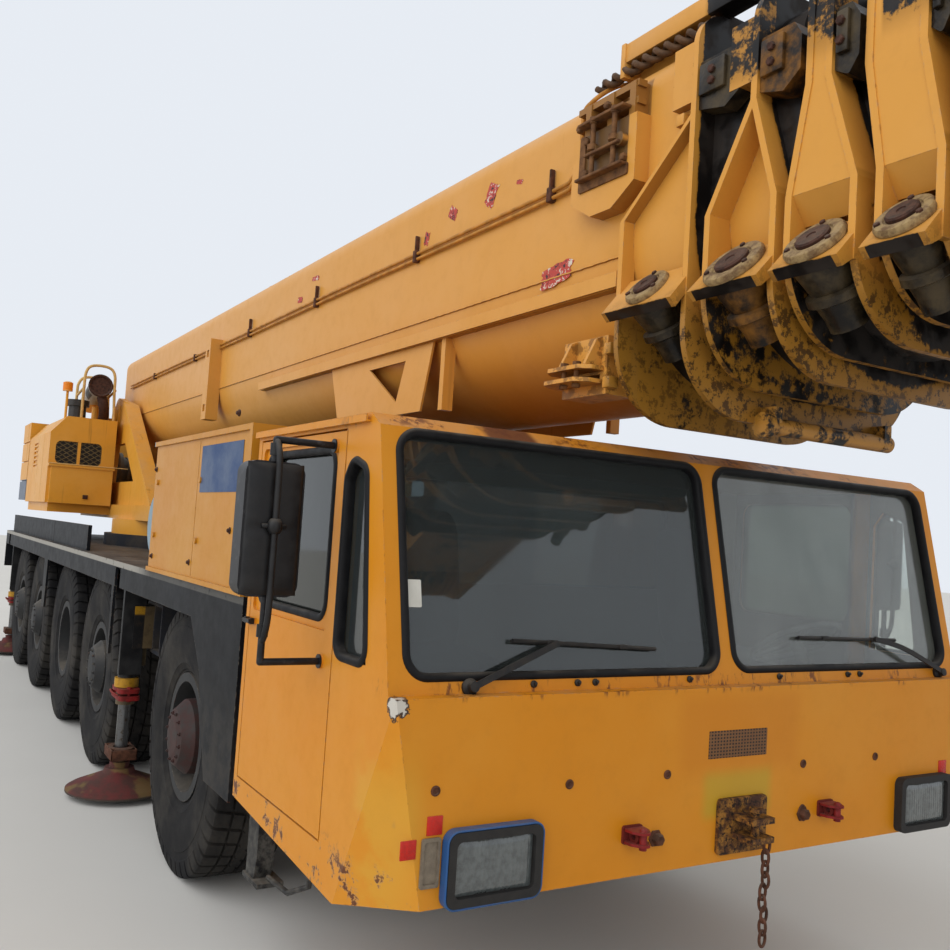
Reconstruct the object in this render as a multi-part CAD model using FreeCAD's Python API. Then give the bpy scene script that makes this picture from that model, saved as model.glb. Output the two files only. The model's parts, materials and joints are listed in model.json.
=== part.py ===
import FreeCAD, Part
import math
import os

# Five-axle all-terrain telescopic crane, parked on its wheels with the boom closed and level.
# Millimetres. +X is forward, +Y is the crane's left, +Z is up, and the origin is on the ground
# under the middle of the whole crane. Lengths named "back" run rearward from the flat front
# panel of the carrier's cab.

V = FreeCAD.Vector

# Overall reach
rear_reach = 11955
head_past_face = 2550
face_x = (rear_reach - head_past_face) / 2
carrier_half_width = 1500
cab_length = 1500

# Running clearances
moving_gap = 8
pad_gap = 0.3
pin_gap = 0.1
bore_gap = 0.05

# Wheels and axles
axle_backs = {"1": 2715, "2": 5275, "3": 7015, "4": 8830, "5": 10450}
steered_axles = ("1", "2", "4", "5")
tyre_radius = 735
tyre_width = 430
rim_radius = 318
rim_lip = 26
bead_share = 0.80
wheel_centre_y = 1210
kingpin_y = 1045
kingpin_radius = 30
spindle_radius = 60
axle_height = tyre_radius
axle_beam_half = 95
knuckle_radius = 78
knuckle_half_height = 135
fork_thickness = 50

# Carrier frame and deck
girder_half_width = 430
girder_bottom = 905
girder_wall = 20
deck_top = 1600
deck_thickness = 40
deck_front_back = cab_length + 60
deck_rear_back = 11850
skirt_thickness = 20
skirt_front_bottom = 690
arch_top = 1425
subframe_top = 950
subframe_bottom = 770
subframe_half_width = 600
engine_length = 1450
engine_half_width = 380
engine_height = 560
deck_wall_height = 215

# Carrier cab
cab_wall = 60
cab_bottom_front = 760
cab_bottom_low = 670
cab_bottom_low_back = 380
cab_bottom_rear = 740
ledge_height = 1420
ledge_depth = 60
screen_rake = 195
screen_top_height = 2300
roof_height = 2345
roof_edge_back = 330
cab_floor_height = 1010
cab_floor_thickness = 60
corner_facet_x = 380
corner_facet_y = 150
door_front_back = 520
door_rear_back = cab_length - 40
door_bottom = 830
door_top = 2300
hinge_inset = 8
hinge_pin_radius = 5
hinge_pin_length = 30
door_edge_depth = 16
door_edge_length = 120
door_recess = 12
door_window = {"front": 640, "rear": door_rear_back - 70, "bottom": 1600, "top": 2230, "corner": 70}
screen = {"inner_y": 45, "outer_y": carrier_half_width - 70, "bottom": 1475, "top": 2285, "corner": 75}
glass_thickness = 8
glass_inset = 30
gutter_height = 2312
gutter_reach = 20
seat_y = 850
seat_rear_back = cab_length - 240
dash_back = 330
mirror_inner = 120
mirror_outer = 340
mirror_bottom = 1680
mirror_top = 2160
mirror_tube = 13

# Boxes on the deck behind the cab
side_box_front_back = cab_length + 70
side_box_rear_back = 3450
side_box_inner_y = 750
side_box_top = 2390
engine_cover_half_width = 600
engine_cover_top = 2120
rest_post_back = 2150
rest_post_half = 130
rest_gap = 110
box_lip = 14
tank_back = 3700
tank_radius = 240
tank_height = 1880
tank_half_length = 1380

# Outriggers
outrigger_backs = {"front": 4230, "rear": 11515}
outrigger_beam_offset = 100
outrigger_beam_width = 170
outrigger_beam_bottom = 1010
outrigger_beam_height = 290
outrigger_box_wall = 18
outrigger_box_half_length = 1250
outrigger_beam_inner_y = 1180
jack_y = 1380
jack_radius = 62
jack_rod_radius = 42
jack_top = 1540
jack_bottom = 620
float_radius = 340
float_clearance = 40
float_height = 150
jack_collar = {"radius": 80, "bottom": 740, "top": 800}

# Boom
boom_pivot_back = 9200
boom_pivot_height = 3050
boom_pin_radius = 90
boom_half_width = 570
boom_bottom = 2540
boom_top = 3790
boom_corner = 130
boom_wall = 14
boom_rear_back = 9500
section_step = 42
section_count = 4
section_rear_backs = {1: 8850, 2: 8750, 3: 8650, 4: 8550}
collar_half_width = boom_half_width + 50
rim_plate = 25
rim_corner = 300
rim_reach = 300
pad_length = 60
shelf_low = 255
shelf_high = 395
shelf_out = 70
shelf_plate = 40

# Boom mouths, one row for each section. Backs are of the rear and front plates. Drop and rise run
# from the base tube's bottom and top to the rim. Knee and peak are heights above the base tube's
# bottom. The leans are the shares of the mouth's length by which the plates lean between them.
mouths = (
    {"rear": 130, "front": -250, "drop": 130, "rise": 50, "knee": 620, "peak": 920,
     "rear_lean": 1.0, "front_lean": 0.0, "closed": False},
    {"rear": -320, "front": -630, "drop": 35, "rise": 20, "knee": 530, "peak": 870,
     "rear_lean": 0.64, "front_lean": 0.36, "closed": False},
    {"rear": -665, "front": -925, "drop": -40, "rise": -10, "knee": 500, "peak": 840,
     "rear_lean": 0.25, "front_lean": 0.45, "closed": True},
    {"rear": -985, "front": -1195, "drop": -105, "rise": -40, "knee": 500, "peak": 820,
     "rear_lean": -0.27, "front_lean": 0.35, "closed": True},
    {"rear": -1255, "front": -1420, "drop": -150, "rise": -70, "knee": 500, "peak": 790,
     "rear_lean": -0.3, "front_lean": 0.3, "closed": True},
)

# Fittings on the base section
rail = {"front": 160, "rear": 4360, "bottom": 2925, "top": 2985, "outer": 600}
strap_backs = (5500, 5640)
strap_outer = 670
head_plate = {"inner": 300, "outer": 340}
sheave_x_back = -2300

# Superstructure
slew_back = 7900
ring_radius = 950
upper_ring_radius = 880
ring_lower_top = 1720
platform_bottom = 1870
platform_top = 2020
platform_front = 2100
platform_rear = 2850
cheek_inner_y = collar_half_width
platform_half_width = cheek_inner_y + 140
wing_bottom = 1900
hood_bottom = 2000
cheek_thickness = 70
cheek_flange = {"low": (6870, 2040), "high": (8480, 3150), "thickness": 30}
hood_front_back = 8800
hood_rear_back = 10600
hood_outer_y = 1450
hood_top = 2970
hood_chamfer = {"in": 160, "down": 190}
hood_ledge = {"height": 2400, "thickness": 30, "reach": 75}
grille = {"inner_y": 900, "outer_y": 1385, "bottom": 2435, "top": 2690, "corner": 60, "depth": 30}
counterweight_front_back = 10650
counterweight_rear_back = 11700
counterweight_top = 3000
counterweight_chamfer = 350
crane_cab_front_back = 5650
crane_cab_rear_back = 7250
crane_cab_inner_y = platform_half_width + 20
crane_cab_outer_y = 1440
crane_cab_top = 3520
crane_cab_wall = 45
winch_back = 10400
winch_height = 2480
winch_radius = 230

# Lift cylinder
lift_foot_back = 7450
lift_foot_height = 2250
lift_head_back = 3750
lift_head_height = 2400
lift_barrel_radius = 135
lift_rod_radius = 100
lift_eye_radius = 105
lift_neck_radius = 72
lift_eye_half = 78
lift_lug_thickness = 35
lift_pin_radius = 50
lift_barrel_start = 185
lift_rod_shown = 300


def behind(back):
    """X of a place that lies this far behind the cab's front panel."""
    return face_x - back


def box(x_low, x_high, y_low, y_high, z_low, z_high):
    return Part.makeBox(x_high - x_low, y_high - y_low, z_high - z_low, V(x_low, y_low, z_low))


def span(back_front, back_rear, y_low, y_high, z_low, z_high):
    """A box between two distances behind the front panel."""
    return box(behind(back_rear), behind(back_front), y_low, y_high, z_low, z_high)


def prism(points, direction):
    """A closed outline of straight runs, extruded."""
    wire = Part.makePolygon([V(*point) for point in points] + [V(*points[0])])
    return Part.Face(wire).extrude(V(*direction))


def side_prism(outline, y_low, y_high):
    """An outline of (back, height) points, extruded across the crane."""
    return prism([(behind(back), y_low, z) for back, z in outline], (0, y_high - y_low, 0))


def cylinder(x, y, z, direction, radius, length):
    return Part.makeCylinder(radius, length, V(x, y, z), V(*direction))


def across(x, z, radius, y_low, y_high):
    """A round bar or hole along Y."""
    return cylinder(x, y_low, z, (0, 1, 0), radius, y_high - y_low)


def fuse(shapes):
    shape = shapes[0].multiFuse(shapes[1:]) if len(shapes) > 1 else shapes[0]
    return shape.removeSplitter()


def mirrored(shape):
    """The same piece on the crane's other side."""
    return shape.mirror(V(0, 0, 0), V(0, 1, 0))


def on_side(shape, side):
    """A piece modelled on the left, or its mirror image for the right."""
    return shape if side == "left" else mirrored(shape)


def rounded_outline(u_low, u_high, v_low, v_high, corner, place):
    """Closed wire of a rectangle with round corners, where place(u, v) gives each point."""
    diagonal = corner * (1 - math.sqrt(0.5))
    edges = []
    corners = (
        # corner's u, v, then its signs towards the middle
        (u_low, v_low, 1, 1),
        (u_high, v_low, -1, 1),
        (u_high, v_high, -1, -1),
        (u_low, v_high, 1, -1),
    )
    arcs = []
    for index, (u, v, du, dv) in enumerate(corners):
        on_v = place(u, v + dv * corner)
        on_u = place(u + du * corner, v)
        middle = place(u + du * diagonal, v + dv * diagonal)
        arcs.append((on_v, middle, on_u) if index % 2 == 0 else (on_u, middle, on_v))
    for index, (start, middle, end) in enumerate(arcs):
        following = arcs[(index + 1) % 4]
        edges.append(Part.Arc(start, middle, end).toShape())
        edges.append(Part.LineSegment(end, following[0]).toShape())
    return Part.Wire(edges)


def revolved_wheel(profile, x, outward):
    """A profile of (radius, offset outward) points, turned about a wheel's axis."""
    points = [V(x, outward * (wheel_centre_y + offset), axle_height + radius) for radius, offset in profile]
    face = Part.Face(Part.makePolygon(points + [points[0]]))
    return face.revolve(V(x, 0, axle_height), V(0, 1, 0), 360)


def boom_outline(section, grow, x):
    """A section's outline: flat sides and top, round corners above and a half round below."""
    half = boom_half_width - section_step * section + grow
    bottom = boom_bottom + section_step * section - grow
    top = boom_top - section_step * section + grow
    corner = boom_corner + grow
    middle_z = bottom + half
    slant = corner * (1 - math.sqrt(0.5))
    edges = [
        Part.Arc(V(x, -half, middle_z), V(x, 0, bottom), V(x, half, middle_z)).toShape(),
        Part.LineSegment(V(x, half, middle_z), V(x, half, top - corner)).toShape(),
        Part.Arc(V(x, half, top - corner), V(x, half - slant, top - slant), V(x, half - corner, top)).toShape(),
        Part.LineSegment(V(x, half - corner, top), V(x, corner - half, top)).toShape(),
        Part.Arc(V(x, corner - half, top), V(x, slant - half, top - slant), V(x, -half, top - corner)).toShape(),
        Part.LineSegment(V(x, -half, top - corner), V(x, -half, middle_z)).toShape(),
    ]
    return Part.Wire(edges)


def boom_ring(outer, inner, back_front, back_rear):
    """A length of boom between two outlines, each given as (section, offset)."""
    x_low = behind(back_rear)
    length = back_rear - back_front
    solid = Part.Face(boom_outline(*outer, x_low)).extrude(V(length, 0, 0))
    hollow = Part.Face(boom_outline(*inner, x_low - 1)).extrude(V(length + 2, 0, 0))
    return solid.cut(hollow)


def make_tyre(axle, side):
    """A tyre whose profile bulges between the bead and the tread's shoulder."""
    half = tyre_width / 2
    seat = rim_radius + pad_gap
    bead = bead_share * half - pad_gap
    bead_top = rim_radius + rim_lip + 4
    profile = [
        (seat, -bead),
        (bead_top, -bead),
        (rim_radius + 130, -0.97 * half),
        (rim_radius + 230, -half),
        (tyre_radius - 55, -0.95 * half),
        (tyre_radius - 8, -0.80 * half),
        (tyre_radius, -0.45 * half),
        (tyre_radius, 0.45 * half),
        (tyre_radius - 8, 0.80 * half),
        (tyre_radius - 55, 0.95 * half),
        (rim_radius + 230, half),
        (rim_radius + 130, 0.97 * half),
        (bead_top, bead),
        (seat, bead),
    ]
    return revolved_wheel(profile, behind(axle_backs[axle]), 1 if side == "left" else -1)


def make_rim(axle, side):
    """A rim with its disc and hub; the hubs of the driven axles stand proud."""
    half = tyre_width / 2
    bead = bead_share * half
    lip = rim_radius + rim_lip
    barrel = rim_radius - 22
    bore = spindle_radius + bore_gap
    hub_reach = half + 25 if axle in steered_axles else half - 120
    profile = [
        (lip, -bead - 14),
        (lip, -bead),
        (rim_radius, -bead),
        (rim_radius, bead),
        (lip, bead),
        (lip, bead + 14),
        (barrel, bead + 14),
        (barrel - 20, 60),
        (210, 40),
        (200, hub_reach - 60),
        (150, hub_reach),
        (bore + 30, hub_reach + 12),
        (0, hub_reach + 12),
        (0, hub_reach - 30),
        (bore, hub_reach - 30),
        (bore, -60),
        (120, -60),
        (140, 0),
        (barrel - 20, 20),
        (barrel, -bead - 14),
    ]
    return revolved_wheel(profile, behind(axle_backs[axle]), 1 if side == "left" else -1)


def spindle_end(axle):
    half = tyre_width / 2
    hub_reach = half + 25 if axle in steered_axles else half - 120
    return wheel_centre_y + hub_reach - 32


def make_knuckle(axle, side):
    """An upright on its kingpins, with the spindle that carries the wheel."""
    x = behind(axle_backs[axle])
    upright = cylinder(x, kingpin_y, axle_height - knuckle_half_height, (0, 0, 1),
                       knuckle_radius, 2 * knuckle_half_height)
    spindle = across(x, axle_height, spindle_radius, kingpin_y, spindle_end(axle))
    knuckle = fuse([upright, spindle])
    bore = cylinder(x, kingpin_y, axle_height - 200, (0, 0, 1), kingpin_radius + pin_gap, 400)
    keep = cylinder(x, kingpin_y, axle_height - 70, (0, 0, 1), kingpin_radius + 5, 140)
    return on_side(fuse([knuckle.cut(bore), keep]), side)


def make_axle(axle):
    """A beam with its differential, seats under the frame, and a fork or spindle at each end."""
    x = behind(axle_backs[axle])
    beam_end = kingpin_y - knuckle_radius - 25
    half = axle_beam_half
    pieces = [
        box(x - half, x + half, -beam_end, beam_end, axle_height - half, axle_height + half),
        cylinder(x, -140, axle_height, (0, 1, 0), 170, 280),
    ]
    for sign in (-1, 1):
        seat_y = sign * 300
        pieces.append(box(x - 120, x + 120, seat_y - 90, seat_y + 90, axle_height, girder_bottom))
        low, high = sorted((sign * (beam_end - 60), sign * (kingpin_y + 55)))
        if axle in steered_axles:
            fork_z = knuckle_half_height + moving_gap
            for z in (axle_height + fork_z, axle_height - fork_z - fork_thickness):
                pieces.append(box(x - 60, x + 60, low, high, z, z + fork_thickness))
            web_low, web_high = sorted((sign * (beam_end - 60), sign * beam_end))
            reach = fork_z + fork_thickness
            pieces.append(box(x - 60, x + 60, web_low, web_high, axle_height - reach, axle_height + reach))
            pin_low = axle_height + 75
            pin = cylinder(x, sign * kingpin_y, pin_low, (0, 0, 1), kingpin_radius, fork_z - 60)
            pieces.append(pin)
            pin_low = axle_height - fork_z - 15
            pieces.append(cylinder(x, sign * kingpin_y, pin_low, (0, 0, 1), kingpin_radius, fork_z - 60))
        else:
            low, high = sorted((sign * (beam_end - 60), sign * spindle_end(axle)))
            pieces.append(across(x, axle_height, spindle_radius, low, high))
    return fuse(pieces)


def outrigger_x(place, side):
    """The two beams of a pair lie side by side in their box."""
    ahead = (side == "left") == (place == "front")
    return behind(outrigger_backs[place]) + (outrigger_beam_offset if ahead else -outrigger_beam_offset)


def make_chassis():
    """The box girder with the outrigger boxes through it, the cab's subframe and the slew seat."""
    tail = deck_rear_back - 60
    shell = span(deck_front_back, tail, -girder_half_width, girder_half_width,
                 girder_bottom, deck_top - deck_thickness)
    inside = span(deck_front_back + girder_wall, tail - girder_wall,
                  girder_wall - girder_half_width, girder_half_width - girder_wall,
                  girder_bottom + girder_wall, deck_top - deck_thickness - girder_wall)
    girder = shell.cut(inside)
    pieces = [girder]
    pieces.append(span(160, deck_front_back + girder_wall, -subframe_half_width, subframe_half_width,
                       subframe_bottom, subframe_top))
    engine_front = deck_front_back + 200
    pieces.append(span(engine_front, engine_front + engine_length, -engine_half_width, engine_half_width,
                       girder_bottom + girder_wall / 2, girder_bottom + engine_height))
    slew_x = behind(slew_back)
    wall = outrigger_box_wall
    half_pair = outrigger_beam_offset + outrigger_beam_width / 2 + moving_gap
    low = outrigger_beam_bottom - moving_gap
    high = outrigger_beam_bottom + outrigger_beam_height + moving_gap
    holes = []
    seats = []
    for place in outrigger_backs:
        x = behind(outrigger_backs[place])
        y = outrigger_box_half_length
        pieces.append(box(x - half_pair - wall, x + half_pair + wall, -y, y, low - wall, high + wall))
        for side in ("left", "right"):
            cell_x = outrigger_x(place, side)
            half = outrigger_beam_width / 2 + moving_gap
            holes.append(box(cell_x - half, cell_x + half, -y - 1, y + 1, low, high))
            for y_seat in (-y, y - 60):
                seats.append(box(cell_x - half, cell_x + half, y_seat, y_seat + 60, low - wall,
                                 outrigger_beam_bottom - pad_gap))
    body = fuse(pieces)
    for hole in holes:
        body = body.cut(hole)
    ring = cylinder(slew_x, 0, deck_top - deck_thickness, (0, 0, 1), ring_radius,
                    ring_lower_top - deck_top + deck_thickness)
    return fuse([body] + seats + [ring])


def skirt_outline():
    """Lower edge of a side skirt, then its top, as (back, height) points."""
    return [
        (deck_front_back, skirt_front_bottom),
        (1950, skirt_front_bottom),
        (1975, 740),
        (2170, 1180),
        (2400, arch_top),
        (4430, arch_top),
        (4440, 950),
        (4490, 950),
        (4500, arch_top),
        (7760, arch_top),
        (7790, 950),
        (7960, 950),
        (7990, arch_top),
        (deck_rear_back, arch_top),
        (deck_rear_back, deck_top),
        (deck_front_back, deck_top),
    ]


def make_deck():
    """The deck plate with a skirt down each side and a low wall along the rear deck."""
    y = carrier_half_width
    plate = span(deck_front_back, deck_rear_back, -y, y, deck_top - deck_thickness, deck_top)
    seat = cylinder(behind(slew_back), 0, deck_top - deck_thickness - 1, (0, 0, 1), ring_radius, 200)
    pieces = [plate.cut(seat)]
    for side in ("left", "right"):
        skirt = on_side(side_prism(skirt_outline(), y - skirt_thickness, y), side)
        for place in outrigger_backs:
            half = jack_radius + 25
            x = outrigger_x(place, side)
            notch = box(x - half, x + half, y - skirt_thickness - 1, y + 1, arch_top - 1, deck_top - deck_thickness)
            skirt = skirt.cut(on_side(notch, side))
        pieces.append(skirt)
    for sign in (-1, 1):
        low, high = sorted((sign * (y - 90), sign * (y - 60)))
        pieces.append(span(6000, deck_rear_back - 200, low, high, deck_top - 1, deck_top + deck_wall_height))
    tail = deck_rear_back
    pieces.append(span(tail - 25, tail, -y, y, 1120, deck_top))
    return fuse(pieces)


def corner_tool(side, wall):
    """What is cut off a lower front corner of the cab: nothing at the ledge, widest at the foot."""
    slope = math.hypot(corner_facet_x, corner_facet_y)
    extra_x = wall * slope / corner_facet_y
    extra_y = wall * slope / corner_facet_x
    top_share = 0.002
    foot_z = cab_bottom_low - 10
    wires = []
    for share, z in ((1.0, foot_z), (top_share, ledge_height)):
        along = corner_facet_x * share + extra_x
        inward = corner_facet_y * share + extra_y
        stretch = 1.6
        middle_x = face_x - along / 2
        middle_y = carrier_half_width - inward / 2
        front = V(middle_x + along / 2 * stretch, middle_y - inward / 2 * stretch, z)
        rear = V(middle_x - along / 2 * stretch, middle_y + inward / 2 * stretch, z)
        outer = V(front.x, rear.y, z)
        wires.append(Part.makePolygon([front, rear, outer, front]))
    return on_side(Part.makeLoft(wires, True, True), side)


def cab_outline():
    return [
        (0, cab_bottom_front),
        (0, ledge_height),
        (ledge_depth, ledge_height),
        (ledge_depth + screen_rake, screen_top_height),
        (roof_edge_back, roof_height),
        (cab_length, roof_height),
        (cab_length, cab_bottom_rear),
        (cab_bottom_low_back, cab_bottom_low),
    ]


def screen_prism(side, shrink):
    """A windscreen's outline, carried forward and back through the raked wall."""
    y_low = screen["inner_y"] + shrink
    y_high = screen["outer_y"] - shrink
    wire = rounded_outline(y_low, y_high, screen["bottom"] + shrink, screen["top"] - shrink,
                           screen["corner"] - shrink / 2, lambda y, z: V(behind(500), y, z))
    return on_side(Part.Face(wire).extrude(V(600, 0, 0)), side)


def quarter_window_prism(side, shrink):
    """The tall window between the door and the windscreen, as a tapering outline with round ends."""
    outline = [(500, 1490 + shrink), (240 + shrink, 1490 + shrink), (330 + shrink, 2150 - shrink),
               (450, 2190 - shrink), (500 - shrink, 2120 - shrink), (500 - shrink, 1560)]
    return on_side(side_prism(outline, carrier_half_width - 200, carrier_half_width + 50), side)


def door_box(side, gap):
    """The door's opening, or the door itself inside its gap."""
    return on_side(span(door_front_back + gap, door_rear_back - gap, carrier_half_width - cab_wall,
                        carrier_half_width + (0 if gap else 1), door_bottom + gap, door_top - gap), side)


def hinge_bars(side, radius, grow):
    """The door's two hinge pins, or the holes they turn in, at the doorway's lower and upper ends."""
    x = behind(door_front_back + moving_gap + hinge_inset)
    y = carrier_half_width - hinge_inset
    length = hinge_pin_length + grow
    lower = cylinder(x, y, door_bottom - 4, (0, 0, 1), radius, length + 4)
    upper = cylinder(x, y, door_top - length, (0, 0, 1), radius, length + 4)
    return [on_side(lower, side), on_side(upper, side)]


def door_window_prism(side, shrink):
    wire = rounded_outline(door_window["front"] + shrink, door_window["rear"] - shrink,
                           door_window["bottom"] + shrink, door_window["top"] - shrink, door_window["corner"],
                           lambda back, z: V(behind(back), carrier_half_width - 200, z))
    return on_side(Part.Face(wire).extrude(V(0, 400, 0)), side)


def make_cab():
    """The carrier's cab, hollow, with its windscreens, quarter windows and doorways cut."""
    y = carrier_half_width
    shell = side_prism(cab_outline(), -y, y)
    for side in ("left", "right"):
        shell = shell.cut(corner_tool(side, 0))
    wall = cab_wall
    inner = [
        (wall, cab_floor_height),
        (wall, ledge_height - wall),
        (ledge_depth + wall - 12, ledge_height - wall),
        (ledge_depth + screen_rake + wall - 3, roof_height - wall),
        (cab_length - wall, roof_height - wall),
        (cab_length - wall, cab_floor_height),
    ]
    cavity = side_prism(inner, wall - y, y - wall)
    for side in ("left", "right"):
        cavity = cavity.cut(corner_tool(side, wall))
    under = span(wall, cab_length - wall, -1320, 1320, cab_bottom_low - 50,
                 cab_floor_height - cab_floor_thickness)
    notch = span(wall, cab_length + 1, -subframe_half_width - moving_gap, subframe_half_width + moving_gap,
                 cab_bottom_low - 50, subframe_top)
    shell = shell.cut(cavity).cut(under).cut(notch)
    for side in ("left", "right"):
        for tool in (screen_prism(side, 0), quarter_window_prism(side, 0), door_box(side, 0)):
            shell = shell.cut(tool)
    back_window = rounded_outline(-900, 900, 1700, 2200, 60, lambda u, v: V(behind(cab_length + 50), u, v))
    shell = shell.cut(Part.Face(back_window).extrude(V(200, 0, 0)))
    extras = hinge_bars("left", hinge_pin_radius, 0) + hinge_bars("right", hinge_pin_radius, 0)
    for side in ("left", "right"):
        low, reach = gutter_height, gutter_reach
        extras.append(on_side(span(roof_edge_back, cab_length, y - 3, y + reach, low, low + 6), side))
        extras.append(on_side(span(roof_edge_back, cab_length, y + reach - 6, y + reach, low, low + 26), side))
    return fuse([shell] + extras)


def make_cab_glass():
    """The fixed panes: two windscreens, two quarter windows and the one in the back wall."""
    y = carrier_half_width
    rake = screen_rake / (screen_top_height - ledge_height)
    top_back = ledge_depth + rake * (roof_height - ledge_height)
    slab = side_prism([
        (ledge_depth + glass_inset, ledge_height),
        (top_back + glass_inset, roof_height),
        (top_back + glass_inset + glass_thickness, roof_height),
        (ledge_depth + glass_inset + glass_thickness, ledge_height),
    ], -y, y)
    panes = []
    for side in ("left", "right"):
        panes.append(slab.common(screen_prism(side, pad_gap)))
        low, high = sorted(((y - glass_inset), (y - glass_inset - glass_thickness)))
        layer = on_side(span(0, 700, low, high, 1000, 2400), side)
        panes.append(layer.common(quarter_window_prism(side, pad_gap)))
    wire = rounded_outline(-900 + pad_gap, 900 - pad_gap, 1700 + pad_gap, 2200 - pad_gap, 60,
                           lambda u, v: V(behind(cab_length - glass_inset), u, v))
    panes.append(Part.Face(wire).extrude(V(glass_thickness, 0, 0)))
    return Part.makeCompound(panes)


def make_door(side):
    """A cab door with its window cut, its handle, and the mirror on a bent tube that stands out from it."""
    door = door_box(side, moving_gap).cut(door_window_prism(side, 0))
    y = carrier_half_width
    edge = door_front_back + moving_gap
    z_low, z_high = door_bottom, door_top
    # The inner side of the front edge is cut away so that the door swings clear of its post
    bevel = prism([(behind(edge - 1), y - door_edge_depth, z_low),
                   (behind(edge - 1), y - cab_wall - 1, z_low),
                   (behind(edge + door_edge_length), y - cab_wall - 1, z_low),
                   (behind(edge + door_edge_length), y - cab_wall, z_low)], (0, 0, z_high - z_low))
    frame = rounded_outline(door_window["front"] - 45, door_window["rear"] + 30, door_window["bottom"] - 40,
                            door_window["top"] + 30, 25, lambda back, z: V(behind(back), y - door_recess, z))
    recess = Part.Face(frame).extrude(V(0, 40, 0))
    door = door.cut(on_side(bevel, side)).cut(on_side(recess, side))
    tube_x = behind(door_window["front"] - 20)
    tube_y = y + (mirror_inner + mirror_outer) / 2
    foot_low, foot_high = mirror_bottom - 230, mirror_top + 80
    pieces = [door]
    for z in (foot_low, foot_high):
        pieces.append(on_side(cylinder(tube_x, y - 14, z, (0, 1, 0), mirror_tube, tube_y - y + 14), side))
        pieces.append(on_side(cylinder(tube_x, y - 14, z, (0, 1, 0), 2 * mirror_tube, 26), side))
        pieces.append(on_side(Part.makeSphere(mirror_tube, V(tube_x, tube_y, z)), side))
    pieces.append(on_side(cylinder(tube_x, tube_y, foot_low, (0, 0, 1), mirror_tube, foot_high - foot_low), side))
    head = rounded_outline(y + mirror_inner, y + mirror_outer, mirror_bottom, mirror_top, 45,
                           lambda v, z: V(tube_x - 75, v, z))
    pieces.append(on_side(Part.Face(head).extrude(V(95, 0, 0)), side))
    handle_back = door_window["rear"] - 25
    pieces.append(on_side(span(handle_back, handle_back + 22, y - 3, y + 26, 1500, 1526), side))
    pieces.append(on_side(span(handle_back + 62, handle_back + 84, y - 3, y + 26, 1500, 1526), side))
    pieces.append(on_side(span(handle_back, handle_back + 84, y + 16, y + 34, 1504, 1522), side))
    whole = fuse(pieces)
    for hole in hinge_bars(side, hinge_pin_radius + pin_gap, 4):
        whole = whole.cut(hole)
    return whole


def make_cab_interior():
    """Two seats, the dash and the steering wheel, which show through the glass."""
    floor = cab_floor_height
    dash_half = carrier_half_width - cab_wall - 90
    dash_top = ledge_height + 20
    seat_front = seat_rear_back - 560
    pieces = [side_prism([(dash_back - 200, floor), (dash_back - 200, dash_top - 10), (dash_back - 60, dash_top),
                          (dash_back, dash_top - 120), (dash_back, floor)], -dash_half, dash_half)]
    for y in (-seat_y, seat_y):
        pieces.append(span(seat_front, seat_rear_back - 110, y - 240, y + 240, floor, floor + 420))
        back = [(seat_rear_back - 180, floor + 380), (seat_rear_back - 70, floor + 1050),
                (seat_rear_back, floor + 1050), (seat_rear_back - 60, floor + 380)]
        pieces.append(side_prism(back, y - 230, y + 230))
    tilt = (-0.5, 0, 0.86)
    column_foot = dash_top - 140
    column_length = 270
    pieces.append(cylinder(behind(dash_back), seat_y, column_foot, tilt, 28, column_length))
    wheel_x = behind(dash_back) - 0.5 * column_length
    wheel_z = column_foot + 0.86 * column_length
    disc = cylinder(wheel_x, seat_y, wheel_z, tilt, 225, 24)
    hollow = cylinder(wheel_x, seat_y, wheel_z, tilt, 198, 24)
    spoke = box(wheel_x - 60, wheel_x + 60, seat_y - 210, seat_y + 210, wheel_z - 80, wheel_z + 80)
    pieces.append(disc.cut(hollow))
    pieces.append(disc.common(spoke).cut(cylinder(wheel_x, seat_y, wheel_z + 6, tilt, 190, 40)))
    return fuse(pieces)


def front_block(y_low, y_high, z_low, z_high, corner, reach):
    """A block with round corners that stands on the cab's front panel."""
    wire = rounded_outline(y_low, y_high, z_low, z_high, corner, lambda y, z: V(face_x, y, z))
    return Part.Face(wire).extrude(V(reach, 0, 0))


def make_front_lamps():
    """Headlamps in deep frames, indicator sockets, tow hooks and the coupling, all on the front panel."""
    pieces = []
    for y in (-1115, 1165):
        frame = front_block(y - 180, y + 180, 765, 1000, 32, 38)
        well = front_block(y - 152, y + 152, 793, 972, 22, 60)
        lens = front_block(y - 152, y + 152, 793, 972, 22, 20)
        bulge = front_block(y - 120, y + 120, 820, 945, 50, 27)
        pieces.append(fuse([frame.cut(well), lens, bulge]))
    for y in (-1345, 1395):
        socket = front_block(y - 34, y + 34, 830, 985, 8, 8)
        pieces.append(socket.cut(front_block(y - 24, y + 24, 842, 973, 6, 20).translate(V(2, 0, 0))))
    for y in (-520, 520):
        plate = front_block(y - 45, y + 45, 880, 945, 10, 10)
        hook = across(face_x + 34, 912, 24, y - 18, y + 18).cut(across(face_x + 34, 912, 11, y - 19, y + 19))
        pieces.append(fuse([plate, hook]))
    middle = 30
    plate = front_block(middle - 130, middle + 130, 790, 1000, 18, 16)
    jaws = [box(face_x + 10, face_x + 120, middle - 60, middle + 60, z, z + 22) for z in (850, 922)]
    pin = cylinder(face_x + 78, middle, 836, (0, 0, 1), 17, 130)
    knob = cylinder(face_x + 78, middle, 960, (0, 0, 1), 26, 14)
    pieces.append(fuse([plate, pin, knob] + jaws))
    return Part.makeCompound(pieces)


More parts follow.
